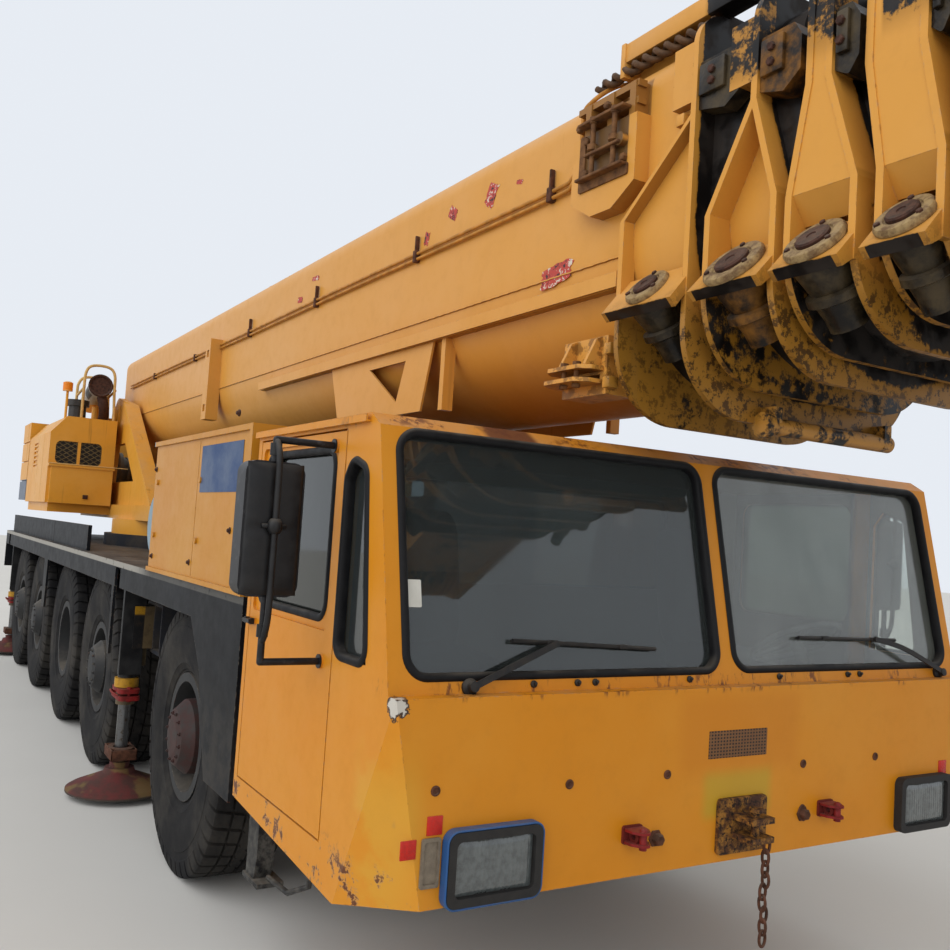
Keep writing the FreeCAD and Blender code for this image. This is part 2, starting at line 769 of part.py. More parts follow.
def make_side_boxes():
    """The two boxes behind the cab, the engine cover with the boom's rest, and the air tank behind them."""
    outer = carrier_half_width
    front, rear = side_box_front_back, side_box_rear_back
    pieces = []
    for side in ("left", "right"):
        body = span(front, rear, side_box_inner_y, outer, deck_top, side_box_top)
        lid = span(front, rear + box_lip, side_box_inner_y, outer + box_lip, side_box_top - 28, side_box_top)
        edge = span(front, front + 40, outer - 5, outer + box_lip, deck_top, side_box_top)
        seam = span(front + 900, front + 908, outer - 8, outer + 1, deck_top + 30, side_box_top - 40)
        foot = span(front, rear, outer - 5, outer + box_lip, deck_top, deck_top + 24)
        box_piece = fuse([body.cut(seam), lid, edge, foot])
        for z in (deck_top + 220, side_box_top - 250):
            for back in (front + 840, rear - 90):
                box_piece = fuse([box_piece, cylinder(behind(back), outer - 3, z, (0, 1, 0), 17, 15)])
        pieces.append(on_side(box_piece, side))
    cover = engine_cover_half_width
    middle = span(front, rear, -cover, cover, deck_top, engine_cover_top)
    half = rest_post_half
    post_top = boom_bottom - rest_gap
    foot = engine_cover_top - 10
    post = span(rest_post_back - half, rest_post_back + half, -240, 240, foot, post_top - 60)
    saddle = span(rest_post_back - half, rest_post_back + half, -330, 330, post_top - 75, post_top - 30)
    cheeks = [span(rest_post_back - half, rest_post_back + half, low, low + 50, post_top - 40, post_top)
              for low in (-330, 280)]
    pieces.append(fuse([middle, post, saddle] + cheeks))
    tank = across(behind(tank_back), tank_height, tank_radius, -tank_half_length, tank_half_length)
    ends = [across(behind(tank_back), tank_height, tank_radius * 0.8, -tank_half_length - 45, tank_half_length + 45)]
    for y in (-900, 820):
        ends.append(span(tank_back - 150, tank_back + 150, y, y + 80, deck_top, tank_height - 100))
        band = across(behind(tank_back), tank_height, tank_radius + 6, y + 10, y + 70)
        ends.append(band)
    pieces.append(fuse([tank] + ends))
    return Part.makeCompound(pieces)


def make_beam(place, side):
    """An outrigger beam with its jack tube at the outer end, and the collar round the tube's foot."""
    x = outrigger_x(place, side)
    half = outrigger_beam_width / 2
    low = outrigger_beam_bottom
    high = low + outrigger_beam_height
    beam = box(x - half, x + half, -outrigger_beam_inner_y, jack_y, low, high)
    tube = cylinder(x, jack_y, jack_bottom, (0, 0, 1), jack_radius, jack_top - jack_bottom)
    ring_low, ring_high = jack_collar["bottom"], jack_collar["top"]
    ring = cylinder(x, jack_y, ring_low, (0, 0, 1), jack_collar["radius"], ring_high - ring_low)
    cap = cylinder(x, jack_y, jack_top - 40, (0, 0, 1), jack_radius + 12, 30)
    gusset = box(x - 12, x + 12, outrigger_box_half_length + 15, jack_y - 40, low - 130, low + 5)
    bore = cylinder(x, jack_y, jack_bottom - 1, (0, 0, 1), jack_rod_radius + pad_gap,
                    jack_top - jack_bottom - 29)
    return on_side(fuse([beam, tube, ring, cap, gusset]).cut(bore), side)


def make_jack(place, side):
    """A jack's rod with the round dished float under it."""
    x = outrigger_x(place, side)
    top = jack_top - 330
    low = float_clearance
    rod = cylinder(x, jack_y, low + 60, (0, 0, 1), jack_rod_radius, top - low - 60)
    profile = [(0, low), (float_radius, low), (float_radius, low + 16), (float_radius - 30, low + 34),
               (108, low + float_height - 35), (96, low + float_height), (0, low + float_height)]
    points = [V(x + radius, jack_y, z) for radius, z in profile]
    dish = Part.Face(Part.makePolygon(points + [points[0]])).revolve(V(x, jack_y, 0), V(0, 0, 1), 360)
    neck = cylinder(x, jack_y, low + float_height - 5, (0, 0, 1), 66, 42)
    return on_side(fuse([rod, dish, neck]), side)


def make_turntable():
    """The upper frame: its ring, platform, boom cheeks with their stub pins and the lift cylinder's lugs."""
    slew_x = behind(slew_back)
    pivot_x = behind(boom_pivot_back)
    foot_x = behind(lift_foot_back)
    pieces = [
        cylinder(slew_x, 0, ring_lower_top + pad_gap, (0, 0, 1), upper_ring_radius,
                 platform_bottom - ring_lower_top),
        box(slew_x - platform_rear, slew_x + platform_front, -platform_half_width, platform_half_width,
            platform_bottom, platform_top),
        span(crane_cab_front_back + 60, crane_cab_rear_back, platform_half_width - 5, crane_cab_outer_y,
             wing_bottom, platform_top),
        span(hood_front_back + 60, hood_rear_back, -hood_outer_y + 40, 5 - platform_half_width,
             wing_bottom, hood_bottom),
    ]
    crown = 230
    for side in ("left", "right"):
        low_back, low_z = cheek_flange["low"]
        high_back, high_z = cheek_flange["high"]
        outline = [
            (boom_pivot_back + 420, platform_top - 5),
            (boom_pivot_back + crown, boom_pivot_height),
            (boom_pivot_back, boom_pivot_height + crown),
            (high_back, high_z),
            (low_back, low_z),
            (low_back, platform_top - 5),
        ]
        plate = side_prism(outline, cheek_inner_y, cheek_inner_y + cheek_thickness)
        thick = cheek_flange["thickness"]
        flange = side_prism([
            (low_back, platform_top - 5),
            (low_back, low_z),
            (high_back, high_z),
            (high_back + thick, high_z - thick / 2),
            (low_back + thick, low_z - thick / 2),
            (low_back + thick, platform_top - 5),
        ], cheek_inner_y - 10, platform_half_width)
        top = across(pivot_x, boom_pivot_height, crown, cheek_inner_y, cheek_inner_y + cheek_thickness)
        pin = across(pivot_x, boom_pivot_height, boom_pin_radius, cheek_inner_y - 120,
                     cheek_inner_y + cheek_thickness + 50)
        rear_flange = side_prism([
            (boom_pivot_back + 420, platform_top - 5),
            (boom_pivot_back + crown, boom_pivot_height),
            (boom_pivot_back + crown - 30, boom_pivot_height),
            (boom_pivot_back + 390, platform_top - 5),
        ], cheek_inner_y, platform_half_width)
        window = side_prism([
            (boom_pivot_back + 150, platform_top + 260),
            (boom_pivot_back + 60, boom_pivot_height - 330),
            (boom_pivot_back - 560, boom_pivot_height - 330),
            (boom_pivot_back - 1150, platform_top + 260),
        ], cheek_inner_y - 1, cheek_inner_y + cheek_thickness + 1)
        collar_ring = across(pivot_x, boom_pivot_height, 150, cheek_inner_y, cheek_inner_y + cheek_thickness + 22)
        pieces.append(on_side(fuse([plate.cut(window), top, flange, rear_flange, collar_ring, pin]), side))
        lug_inner = lift_eye_half + moving_gap
        lug = side_prism([
            (lift_foot_back + 170, platform_top - 5),
            (lift_foot_back + 130, lift_foot_height),
            (lift_foot_back - 130, lift_foot_height),
            (lift_foot_back - 170, platform_top - 5),
        ], lug_inner, lug_inner + lift_lug_thickness)
        round_end = across(foot_x, lift_foot_height, 130, lug_inner, lug_inner + lift_lug_thickness)
        pieces.append(on_side(fuse([lug, round_end]), side))
    pin_reach = lift_eye_half + moving_gap + lift_lug_thickness + 20
    pieces.append(across(foot_x, lift_foot_height, lift_pin_radius, -pin_reach, pin_reach))
    return fuse(pieces)


def make_winch():
    """The hoist winch: a grooved drum between two flanges on its own stand, with its gear case."""
    x = behind(winch_back)
    pieces = [
        across(x, winch_height, winch_radius * 0.7, -400, 400),
        across(x, winch_height, winch_radius, -420, -380),
        across(x, winch_height, winch_radius, 380, 420),
        across(x, winch_height, winch_radius * 0.55, 415, 500),
    ]
    for turn in range(13):
        y = -360 + 60 * turn
        pieces.append(across(x, winch_height, winch_radius * 0.76, y - 20, y + 20))
    for low in (-470, 418):
        pieces.append(side_prism([
            (winch_back - 200, platform_top),
            (winch_back - 90, winch_height + 60),
            (winch_back + 90, winch_height + 60),
            (winch_back + 200, platform_top),
        ], low, low + 52))
    return fuse(pieces)


def make_hood():
    """The engine hood on the right: a chamfered top edge, a grille in front over a ledge, and its stacks."""
    inner = platform_half_width
    outer = hood_outer_y
    low, top = hood_bottom, hood_top
    front, rear = hood_front_back, hood_rear_back
    outline = [(inner, low), (outer, low), (outer, top - hood_chamfer["down"]),
               (outer - hood_chamfer["in"], top), (inner, top)]
    body = prism([(behind(rear), -y, z) for y, z in outline], (rear - front, 0, 0))
    wire = rounded_outline(-grille["outer_y"], -grille["inner_y"], grille["bottom"], grille["top"],
                           grille["corner"], lambda y, z: V(behind(front) - grille["depth"], y, z))
    body = body.cut(Part.Face(wire).extrude(V(grille["depth"] + 5, 0, 0)))
    for back in (front + 450, front + 900, front + 1350):
        seam = span(back, back + 8, -outer - 1, 7 - outer, low + 90, top - hood_chamfer["down"] - 40)
        body = body.cut(seam)
    vent = span(front + 960, front + 1290, -outer - 1, 14 - outer, low + 420, low + 700)
    body = body.cut(vent)
    middle = -(grille["inner_y"] + grille["outer_y"]) / 2
    pieces = [body, span(front - 2, front + grille["depth"] + 2, middle - 16, middle + 16,
                         grille["bottom"] - 5, grille["top"] + 5)]
    for slat in range(5):
        z = low + 440 + 54 * slat
        pieces.append(span(front + 955, front + 1295, -outer - 2, 16 - outer, z, z + 20))
    ledge_z = hood_ledge["height"]
    reach = hood_ledge["reach"]
    pieces.append(span(front - reach, front + 1, -outer, -inner, ledge_z, ledge_z + hood_ledge["thickness"]))
    pieces.append(span(front - reach + 15, front + 1, 30 - outer, -inner - 15, low, ledge_z + 5))
    # Air cleaner, exhaust with its silencer, and the beacon on its stalk
    pieces.append(cylinder(behind(front + 330), -1150, top - 5, (0, 0, 1), 95, 190))
    pieces.append(cylinder(behind(front + 330), -1150, top + 150, (0, 0, 1), 125, 70))
    pieces.append(cylinder(behind(front + 620), -900, top - 5, (0, 0, 1), 48, 330))
    pieces.append(cylinder(behind(front + 180), -950, top + 390, (-0.985, 0.03, -0.17), 118, 760))
    pieces.append(cylinder(behind(front + 170), -950, top + 392, (-0.985, 0.03, -0.17), 128, 40))
    pieces.append(cylinder(behind(front + 120), -1300, top - 200, (0, 0, 1), 14, 500))
    pieces.append(cylinder(behind(front + 120), -1300, top + 290, (0, 0, 1), 52, 95))
    return fuse(pieces)


def make_counterweight():
    """A stack of cast slabs with cut corners, tied by two side bars, with lifting lugs on top."""
    outer = hood_outer_y
    cut = counterweight_chamfer
    front, rear = counterweight_front_back, counterweight_rear_back
    plan = [(front, -outer), (rear - cut, -outer), (rear, cut - outer), (rear, outer - cut),
            (rear - cut, outer), (front, outer)]
    low, top = platform_top, counterweight_top
    body = prism([(behind(back), y, low) for back, y in plan], (0, 0, top - low))
    slab = (top - low) / 4
    for index in (1, 2, 3):
        z = low + slab * index
        groove = prism([(behind(back), y * 1.01, z - 7) for back, y in plan], (0, 0, 14))
        core = prism([(behind(back - 22 if back != front else back), y * 0.985, z - 7) for back, y in plan],
                     (0, 0, 14))
        body = body.cut(groove.cut(core))
    pieces = [body]
    for y in (-820, 820):
        lug = across(behind((front + rear) / 2), top + 35, 75, y - 25, y + 25)
        pieces.append(lug.cut(across(behind((front + rear) / 2), top + 55, 30, y - 30, y + 30)))
    return fuse(pieces)


def make_crane_cab():
    """The operator's cab on the left of the boom, hollow, with its windows and doorway cut."""
    front, rear = crane_cab_front_back, crane_cab_rear_back
    low, high = platform_top, crane_cab_top
    outline = [(front + 60, low), (front, low + 620), (front + 190, high - 20), (front + 260, high),
               (rear, high), (rear, low)]
    shell = side_prism(outline, crane_cab_inner_y, crane_cab_outer_y)
    wall = crane_cab_wall
    inner = [(front + 60 + wall, low + wall), (front + wall, low + 620), (front + 190 + wall, high - wall - 10),
             (rear - wall, high - wall - 10), (rear - wall, low + wall)]
    shell = shell.cut(side_prism(inner, crane_cab_inner_y + wall, crane_cab_outer_y - wall))
    door = span(front + 560, front + 1260, crane_cab_outer_y - wall - 1, crane_cab_outer_y + 1,
                low + 120, high - 130)
    shell = shell.cut(door)
    windscreen = box(behind(front + 300), behind(front - 10), crane_cab_inner_y + 70, crane_cab_outer_y - 70,
                     low + 660, high - 110)
    rails = []
    for z in (low + 100, high - 130):
        rails.append(span(front + 540, rear, crane_cab_outer_y, crane_cab_outer_y + moving_gap - pad_gap, z, z + 20))
    return fuse([shell.cut(windscreen)] + rails)


def make_crane_cab_glass():
    """The raked front pane."""
    front = crane_cab_front_back
    low, high = platform_top, crane_cab_top
    slope = 190 / (high - 20 - low - 620)
    z_low, z_high = low + 660 + pad_gap, high - 110 - pad_gap
    back_low = front + slope * (z_low - low - 620) + 15
    back_high = front + slope * (z_high - low - 620) + 15
    pane = side_prism([(back_low, z_low), (back_high, z_high), (back_high + 8, z_high), (back_low + 8, z_low)],
                      crane_cab_inner_y + 70 + pad_gap, crane_cab_outer_y - 70 - pad_gap)
    return pane


def make_crane_cab_door():
    """The sliding door, which hangs outside the wall and runs rearward."""
    front = crane_cab_front_back
    low, high = platform_top, crane_cab_top
    door = span(front + 530, front + 1290, crane_cab_outer_y + moving_gap, crane_cab_outer_y + 38,
                low + 90, high - 100)
    window = span(front + 620, front + 1200, crane_cab_outer_y - 10, crane_cab_outer_y + 60,
                  low + 700, high - 190)
    return door.cut(window)


def lift_frame():
    """Foot, head and direction of the lift cylinder at rest."""
    foot = V(behind(lift_foot_back), 0, lift_foot_height)
    head = V(behind(lift_head_back), 0, lift_head_height)
    axis = head.sub(foot)
    length = axis.Length
    return foot, head, axis.multiply(1 / length), length


def make_lift_barrel():
    """The barrel, its bore, and the eye on the turntable's pin."""
    foot, head, axis, length = lift_frame()
    start = foot + axis * lift_barrel_start
    barrel_length = length - lift_barrel_start - lift_rod_shown
    barrel = Part.makeCylinder(lift_barrel_radius, barrel_length, start, axis)
    bore = Part.makeCylinder(lift_rod_radius + pad_gap, barrel_length, start + axis * 60, axis)
    neck = Part.makeCylinder(lift_neck_radius, lift_barrel_start, foot, axis)
    eye = across(foot.x, foot.z, lift_eye_radius + 15, -lift_eye_half, lift_eye_half)
    hole = across(foot.x, foot.z, lift_pin_radius + pin_gap, -lift_eye_half - 1, lift_eye_half + 1)
    return fuse([barrel.cut(bore), neck, eye]).cut(hole)


def make_lift_rod():
    """The rod with its eye, which hangs between the lugs under the boom."""
    foot, head, axis, length = lift_frame()
    start = foot + axis * (lift_barrel_start + 80)
    rod = Part.makeCylinder(lift_rod_radius, length - lift_barrel_start - 80 - lift_rod_shown + 30, start, axis)
    neck = Part.makeCylinder(lift_neck_radius, lift_rod_shown, foot + axis * (length - lift_rod_shown), axis)
    eye = across(head.x, head.z, lift_eye_radius, -lift_eye_half, lift_eye_half)
    return fuse([rod, neck, eye])


def cornered_outline(half, bottom, top, low_corner, high_corner, x):
    """An upright outline across the boom, with large round corners below and smaller ones above."""
    low = low_corner * (1 - math.sqrt(0.5))
    high = high_corner * (1 - math.sqrt(0.5))
    right = [
        ((half - low_corner, bottom), (half - low, bottom + low), (half, bottom + low_corner)),
        ((half, top - high_corner), (half - high, top - high), (half - high_corner, top)),
    ]
    left = [tuple((-y, z) for y, z in reversed(arc)) for arc in reversed(right)]
    arcs = [tuple(V(x, y, z) for y, z in arc) for arc in right + left]
    edges = []
    for index, (start, middle, end) in enumerate(arcs):
        edges.append(Part.Arc(start, middle, end).toShape())
        edges.append(Part.LineSegment(end, arcs[(index + 1) % 4][0]).toShape())
    return Part.Wire(edges)


def mouth_rim(section, back_front, back_rear, inset):
    """Solid round the boom out to the mouth's rim, less an inset; the tube is not cut out."""
    row = mouths[section]
    wire = cornered_outline(collar_half_width - inset, boom_bottom - row["drop"] + inset,
                            boom_top + row["rise"] - inset, rim_corner - inset, boom_corner - inset,
                            behind(back_rear))
    return Part.Face(wire).extrude(V(back_rear - back_front, 0, 0))


def mouth_plate(section, back_front, z_low, z_high):
    """One flange plate round the tube between two heights."""
    plate = mouth_rim(section, back_front, back_front + rim_plate, 0)
    tube = Part.Face(boom_outline(section, -boom_wall / 2, behind(back_front + rim_plate) - 1))
    room = span(back_front - 1, back_front + rim_plate + 1, -collar_half_width - 1, collar_half_width + 1,
                z_low, z_high)
    return plate.cut(tube.extrude(V(rim_plate + 2, 0, 0))).common(room)


def make_mouth(section):
    """The stiffened mouth of a section: lower rims, leaning side plates, fins above and pad pockets."""
    row = mouths[section]
    front, rear = row["front"], row["rear"]
    length = rear - front
    run = length - rim_plate
    bottom = boom_bottom - row["drop"]
    top = boom_top + row["rise"]
    shelf_z = boom_bottom + shelf_low
    knee = boom_bottom + row["knee"]
    peak = boom_bottom + row["peak"]
    rear_fin = rear - row["rear_lean"] * run - rim_plate
    front_fin = front + row["front_lean"] * run
    half = boom_half_width - section_step * section
    root = half - boom_wall + 2
    pieces = [
        mouth_plate(section, rear - rim_plate, bottom - 1, boom_bottom + rim_reach),
        mouth_plate(section, front, bottom - 1, boom_bottom + rim_reach),
    ]
    fins = {round(rear_fin, 3), round(front_fin, 3)}
    for fin in sorted(fins):
        pieces.append(mouth_plate(section, fin, peak - 2, top + 1))
    sides = []
    for start, end in ((rear - rim_plate, rear_fin), (front, front_fin)):
        sides.append(side_prism([
            (start + rim_plate, shelf_z),
            (start + rim_plate, knee),
            (end + rim_plate, peak),
            (end, peak),
            (start, knee),
            (start, shelf_z),
        ], root, collar_half_width))
    shelf = [
        (root, boom_bottom + shelf_high),
        (half + 5 if section == 0 else collar_half_width - 60, boom_bottom + shelf_high),
        (collar_half_width + shelf_out, shelf_z),
        (collar_half_width + shelf_out - 28, shelf_z - 28),
        (root, boom_bottom + shelf_high - shelf_plate),
    ]
    x_low = behind(rear - 5)
    sides.append(prism([(x_low, y, z) for y, z in shelf], (length - 10, 0, 0)))
    # The round cap on the shelf's slope, and the tapered pad holder that runs in below it
    middle_x = behind((rear + front) / 2)
    cap = V(middle_x, collar_half_width + 5, boom_bottom + (shelf_low + shelf_high) / 2)
    normal = V(0, 0.733, 0.68)
    cap_radius = min(65, length / 2 - 32)
    holder_radius = min(85, length / 2 - 36)
    sides.append(Part.makeCylinder(cap_radius, 30, cap - normal * 12, normal))
    sides.append(Part.makeCylinder(cap_radius * 0.62, 38, cap - normal * 12, normal))
    sides.append(Part.makeCone(holder_radius, holder_radius * 0.7, 190, cap - normal * 24, V(0, -0.6, -0.8)))
    if row["closed"]:
        low_y, high_y = collar_half_width - 14, collar_half_width - 4
        sides.append(side_prism([
            (rear - 2, knee),
            (rear_fin + rim_plate - 2, peak + 4),
            (front_fin + 2, peak + 4),
            (front + 2, knee),
        ], low_y, high_y))
        slope = [(high_y, knee + 1), (collar_half_width - 65, knee - 85), (collar_half_width - 75, knee - 78),
                 (low_y - 2, knee + 5)]
        sides.append(prism([(x_low, y, z) for y, z in slope], (length - 10, 0, 0)))
        shell = mouth_rim(section, front_fin + 5, rear_fin + rim_plate - 5, 4)
        shell = shell.cut(mouth_rim(section, front_fin, rear_fin + rim_plate, 14))
        pieces.append(shell.common(span(front - 50, rear + 100, -collar_half_width, collar_half_width,
                                        peak, top + 1)))
    else:
        block = span(front_fin + rim_plate - 2, front_fin + rim_plate + 108, root, collar_half_width - 12,
                     top - 330, top - 110)
        sides.append(block)
    for piece in sides:
        pieces.append(piece)
        pieces.append(mirrored(piece))
    return pieces


def make_boom_section(section):
    """One tube of the boom with its mouth and the wear pads that the next section slides on."""
    front = mouths[section]["front"]
    rear = boom_rear_back if section == 0 else section_rear_backs[section]
    pieces = [boom_ring((section, 0), (section, -boom_wall), front, rear)]
    pieces += make_mouth(section)
    if section < section_count:
        pad = boom_ring((section, -boom_wall / 2), (section + 1, pad_gap), front, front + pad_length)
        pieces.append(pad)
    return fuse(pieces)


def make_base_fittings():
    """What is welded to the outside of the base section."""
    half = boom_half_width
    outer = rail["outer"]
    pieces = []
    for side in ("left", "right"):
        channel = span(rail["front"], rail["rear"], half - 40, outer, rail["bottom"], rail["top"])
        groove = span(rail["front"] - 1, rail["rear"] + 1, half + 8, outer - 7, rail["bottom"] - 1, rail["top"] - 8)
        web = side_prism([(1650, 2940), (3000, 2940), (2840, 2570), (1760, 2570)], half - 10, half + 2)
        hole = side_prism([(1960, 2860), (2420, 2860), (2050, 2640)], half - 20, half + 20)
        post = span(1520, 1560, half - 58, half + 4, 2560, 2930)
        strap = span(strap_backs[0], strap_backs[1], half - 5, strap_outer, 2780, 3460)
        for z in (2850, 3320):
            strap = strap.cut(span(strap_backs[0] + 40, strap_backs[1] - 40, strap_outer - 30, strap_outer + 1,
                                   z, z + 60))
        strap_top = span(strap_backs[0], strap_backs[1], half - 5, strap_outer, 3455, 3475)
        clamp = span(220, 500, half - 140, half + 4, 2520, 2750)
        clamp = clamp.cut(span(260, 460, half - 60, half + 5, 2560, 2600))
        for piece in (channel.cut(groove), web.cut(hole), post, strap, strap_top, clamp):
            pieces.append(on_side(piece, side))
    # Latch box, its open frame of bars, the guide beam and a small horn, on the right only
    latch = side_prism([(40, 3300), (40, 3560), (430, 3560), (430, 3300), (300, 3222), (170, 3222)],
                       half - 6, half + 70)
    bars = [latch]
    for back in (60, 190, 330):
        bars.append(span(back, back + 34, half - 6, half + 66, 3555, 3690))
    for z in (3600, 3668):
        bars.append(span(50, 420, half + 20, half + 60, z, z + 26))
    for back in (110, 270):
        bars.append(across(behind(back), 3470, 26, half + 60, half + 96))
    bars.append(span(-250, 320, 400, 470, 3775, 3855))
    bars.append(span(4930, 4970, 330, 370, 3780, 3880))
    bars.append(span(4900, 5060, 330, 350, 3870, 3884))
    for piece in bars:
        pieces.append(mirrored(piece))
    # Round bar and its bracket below the mouth's front flange
    bar_back = mouths[0]["front"] - 35
    pieces.append(across(behind(bar_back), 2402, 32, -250, 450))
    for y in (-230, 390):
        pieces.append(span(bar_back - 30, mouths[0]["front"] + 10, y, y + 40, 2380, 2470))
    pieces.append(across(behind(bar_back), 2402, 46, -262, -232))
    return pieces


def make_boom_base():
    """The base section with its foot, the lift cylinder's lugs and its fittings."""
    tube = make_boom_section(0)
    pivot_x = behind(boom_pivot_back)
    pieces = [tube] + make_base_fittings()
    for side in ("left", "right"):
        y_outer = boom_half_width
        pieces.append(on_side(across(pivot_x, boom_pivot_height, 170, y_outer - 60, y_outer + 20), side))
        lug_inner = lift_eye_half + moving_gap
        lug_outer = lug_inner + lift_lug_thickness
        lug = side_prism([
            (lift_head_back + 330, boom_bottom + 40),
            (lift_head_back + 110, lift_head_height),
            (lift_head_back - 110, lift_head_height),
            (lift_head_back - 330, boom_bottom + 40),
        ], lug_inner, lug_outer)
        lug = fuse([lug, across(behind(lift_head_back), lift_head_height, 110, lug_inner, lug_outer)])
        pieces.append(on_side(lug, side))
    body = fuse(pieces)
    inside = boom_half_width - boom_wall
    for sign in (-1, 1):
        low, high = sorted((sign * (inside - 70), sign * (boom_half_width + 60)))
        body = body.cut(across(pivot_x, boom_pivot_height, boom_pin_radius + pin_gap, low, high))
    return body


def sheave(x, z, radius, y):
    """A rope sheave with its groove and a hub."""
    return [
        across(x, z, radius, y - 26, y - 12),
        across(x, z, radius - 24, y - 13, y + 13),
        across(x, z, radius, y + 12, y + 26),
        across(x, z, 75, y - 38, y + 38),
    ]


def make_boom_head():
    """The last section with the boom head: two cheek plates, their ties and the rope sheaves."""
    tip = -head_past_face
    low, high = head_plate["inner"], head_plate["outer"]
    lower = (behind(sheave_x_back), 2900)
    upper = (behind(sheave_x_back + 40), 3430)
    pieces = []
    for side in ("left", "right"):
        outline = [(-1250, 2740), (-1250, 3600), (-1900, 3680), (-2260, 3680), (tip, 3520), (tip, 3330),
                   (-2440, 3160), (tip + 10, 2960), (tip + 40, 2760), (-2300, 2640), (-2080, 2660)]
        plate = side_prism(outline, low, high)
        plate = plate.cut(side_prism([(-1560, 3000), (-1560, 3380), (-1980, 3400), (-1980, 3060)], low - 1, high + 1))
        bosses = [across(x, z, 95, high - 5, high + 24) for x, z in (lower, upper)]
        bosses.append(across(behind(-2120), 3600, 48, high - 5, high + 70))
        bosses.append(across(behind(-2120), 2760, 48, high - 5, high + 70))
        stiffener = side_prism([(-1430, 2860), (-1430, 2900), (-2050, 2860), (-2050, 2820)], high - 5, high + 60)
        pieces.append(on_side(fuse([plate, stiffener] + bosses), side))
    pieces.append(across(lower[0], lower[1], 58, -high, high))
    pieces.append(across(upper[0], upper[1], 58, -high, high))
    pieces.append(span(-1900, -1440, -high, high, 3630, 3655))
    pieces.append(span(-2020, -1440, -high, high, 2715, 2740))
    pieces.append(span(-1500, -1460, -high, high, 2720, 3640))
    for y in (-220, -110, 0, 110, 220):
        pieces += sheave(lower[0], lower[1], 225, y)
    for y in (-110, 110):
        pieces += sheave(upper[0], upper[1], 205, y)
    return fuse([make_boom_section(section_count)] + pieces)


def save(node, shape):
    shape.exportStep("parts/" + node + ".step")


def main():
    os.makedirs("parts", exist_ok=True)
    save("chassis_frame", make_chassis())
    save("deck_skirts", make_deck())
    save("carrier_cab", make_cab())
    save("cab_glass", make_cab_glass())
    save("cab_interior", make_cab_interior())
    save("front_lamps", make_front_lamps())
    save("side_boxes", make_side_boxes())
    save("axle_set", Part.makeCompound([make_axle(axle) for axle in axle_backs]))
    save("turntable", make_turntable())
    save("hoist_winch", make_winch())
    save("engine_hood", make_hood())
    save("counterweight", make_counterweight())
    save("crane_cab", make_crane_cab())
    save("crane_cab_glass", make_crane_cab_glass())
    save("crane_cab_door", make_crane_cab_door())
    save("lift_barrel", make_lift_barrel())
    save("lift_rod", make_lift_rod())
    save("boom_base", make_boom_base())
    for section in range(1, section_count):
        save("tele_" + str(section), make_boom_section(section))
    save("tele_" + str(section_count), make_boom_head())
    for side in ("left", "right"):
        save("door_" + side, make_door(side))
        for axle in axle_backs:
            save("tyre_" + axle + "_" + side, make_tyre(axle, side))
            save("rim_" + axle + "_" + side, make_rim(axle, side))
            if axle in steered_axles:
                save("knuckle_" + axle + "_" + side, make_knuckle(axle, side))
        for place in outrigger_backs:
            save("beam_" + place + "_" + side, make_beam(place, side))
            save("jack_" + place + "_" + side, make_jack(place, side))


main()
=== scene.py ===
import json
import math

import bpy
import numpy as np
from mathutils import Matrix, Vector


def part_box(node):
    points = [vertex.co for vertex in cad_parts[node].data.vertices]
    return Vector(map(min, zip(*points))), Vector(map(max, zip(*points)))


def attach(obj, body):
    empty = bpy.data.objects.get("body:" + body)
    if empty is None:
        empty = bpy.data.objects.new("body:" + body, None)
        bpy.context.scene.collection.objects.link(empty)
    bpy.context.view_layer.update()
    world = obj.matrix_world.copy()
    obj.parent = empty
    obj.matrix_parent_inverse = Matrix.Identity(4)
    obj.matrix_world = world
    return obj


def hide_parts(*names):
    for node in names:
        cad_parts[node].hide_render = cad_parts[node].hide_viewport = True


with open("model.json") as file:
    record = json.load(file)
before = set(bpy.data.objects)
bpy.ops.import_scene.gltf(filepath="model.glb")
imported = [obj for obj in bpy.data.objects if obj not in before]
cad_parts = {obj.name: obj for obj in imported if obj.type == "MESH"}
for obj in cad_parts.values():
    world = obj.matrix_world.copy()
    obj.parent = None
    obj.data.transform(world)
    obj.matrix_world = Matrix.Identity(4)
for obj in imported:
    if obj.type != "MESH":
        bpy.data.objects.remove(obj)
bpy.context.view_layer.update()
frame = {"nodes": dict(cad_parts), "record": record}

bl_info = {
    "name": "Five-axle crane finish",
    "version": (1, 0, 0),
    "blender": (4, 5, 0),
    "location": "3D View > Sidebar > Crane",
    "description": "Dresses the packed crane: paint, rubber, glass, treads, seals, pipes and small fittings",
    "category": "Object",
}

NODES = frame["nodes"]
BODIES = frame["record"]["behaviour"]["bodies"]
BODY_OF = {node: body for body, members in BODIES.items() for node in members}

# Places read from the frame. Lengths are metres, and "back" runs rearward from the cab's front panel.
FACE_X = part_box("carrier_cab")[1].x
HALF_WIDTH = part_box("deck_skirts")[1].y
AXLES = ("1", "2", "3", "4", "5")
SIDES = {"left": 1.0, "right": -1.0}

# Cab forms that the CAD cuts, repeated here because the frame holds only its meshes
LEDGE_Z = 1.420
LEDGE_BACK = 0.060
RAKE = 0.195 / 0.880
SCREEN = {"inner_y": 0.045, "outer_y": HALF_WIDTH - 0.070, "bottom": 1.475, "top": 2.285, "corner": 0.075}
DOOR_WINDOW = {"front": 0.640, "rear": 1.390, "bottom": 1.600, "top": 2.230, "corner": 0.070}
DOOR_RECESS = 0.012
QUARTER_WINDOW = ((0.500, 1.490), (0.240, 1.490), (0.330, 2.150), (0.450, 2.190), (0.500, 2.120))

# Boom forms: half width, centre of the round underside, and the mouths' front and rear plates
BOOM_HALF = 0.570
BOOM_STEP = 0.042
BOOM_CENTRE_Z = 3.110
RIM_HALF = 0.620
SHELF_Z = 2.795
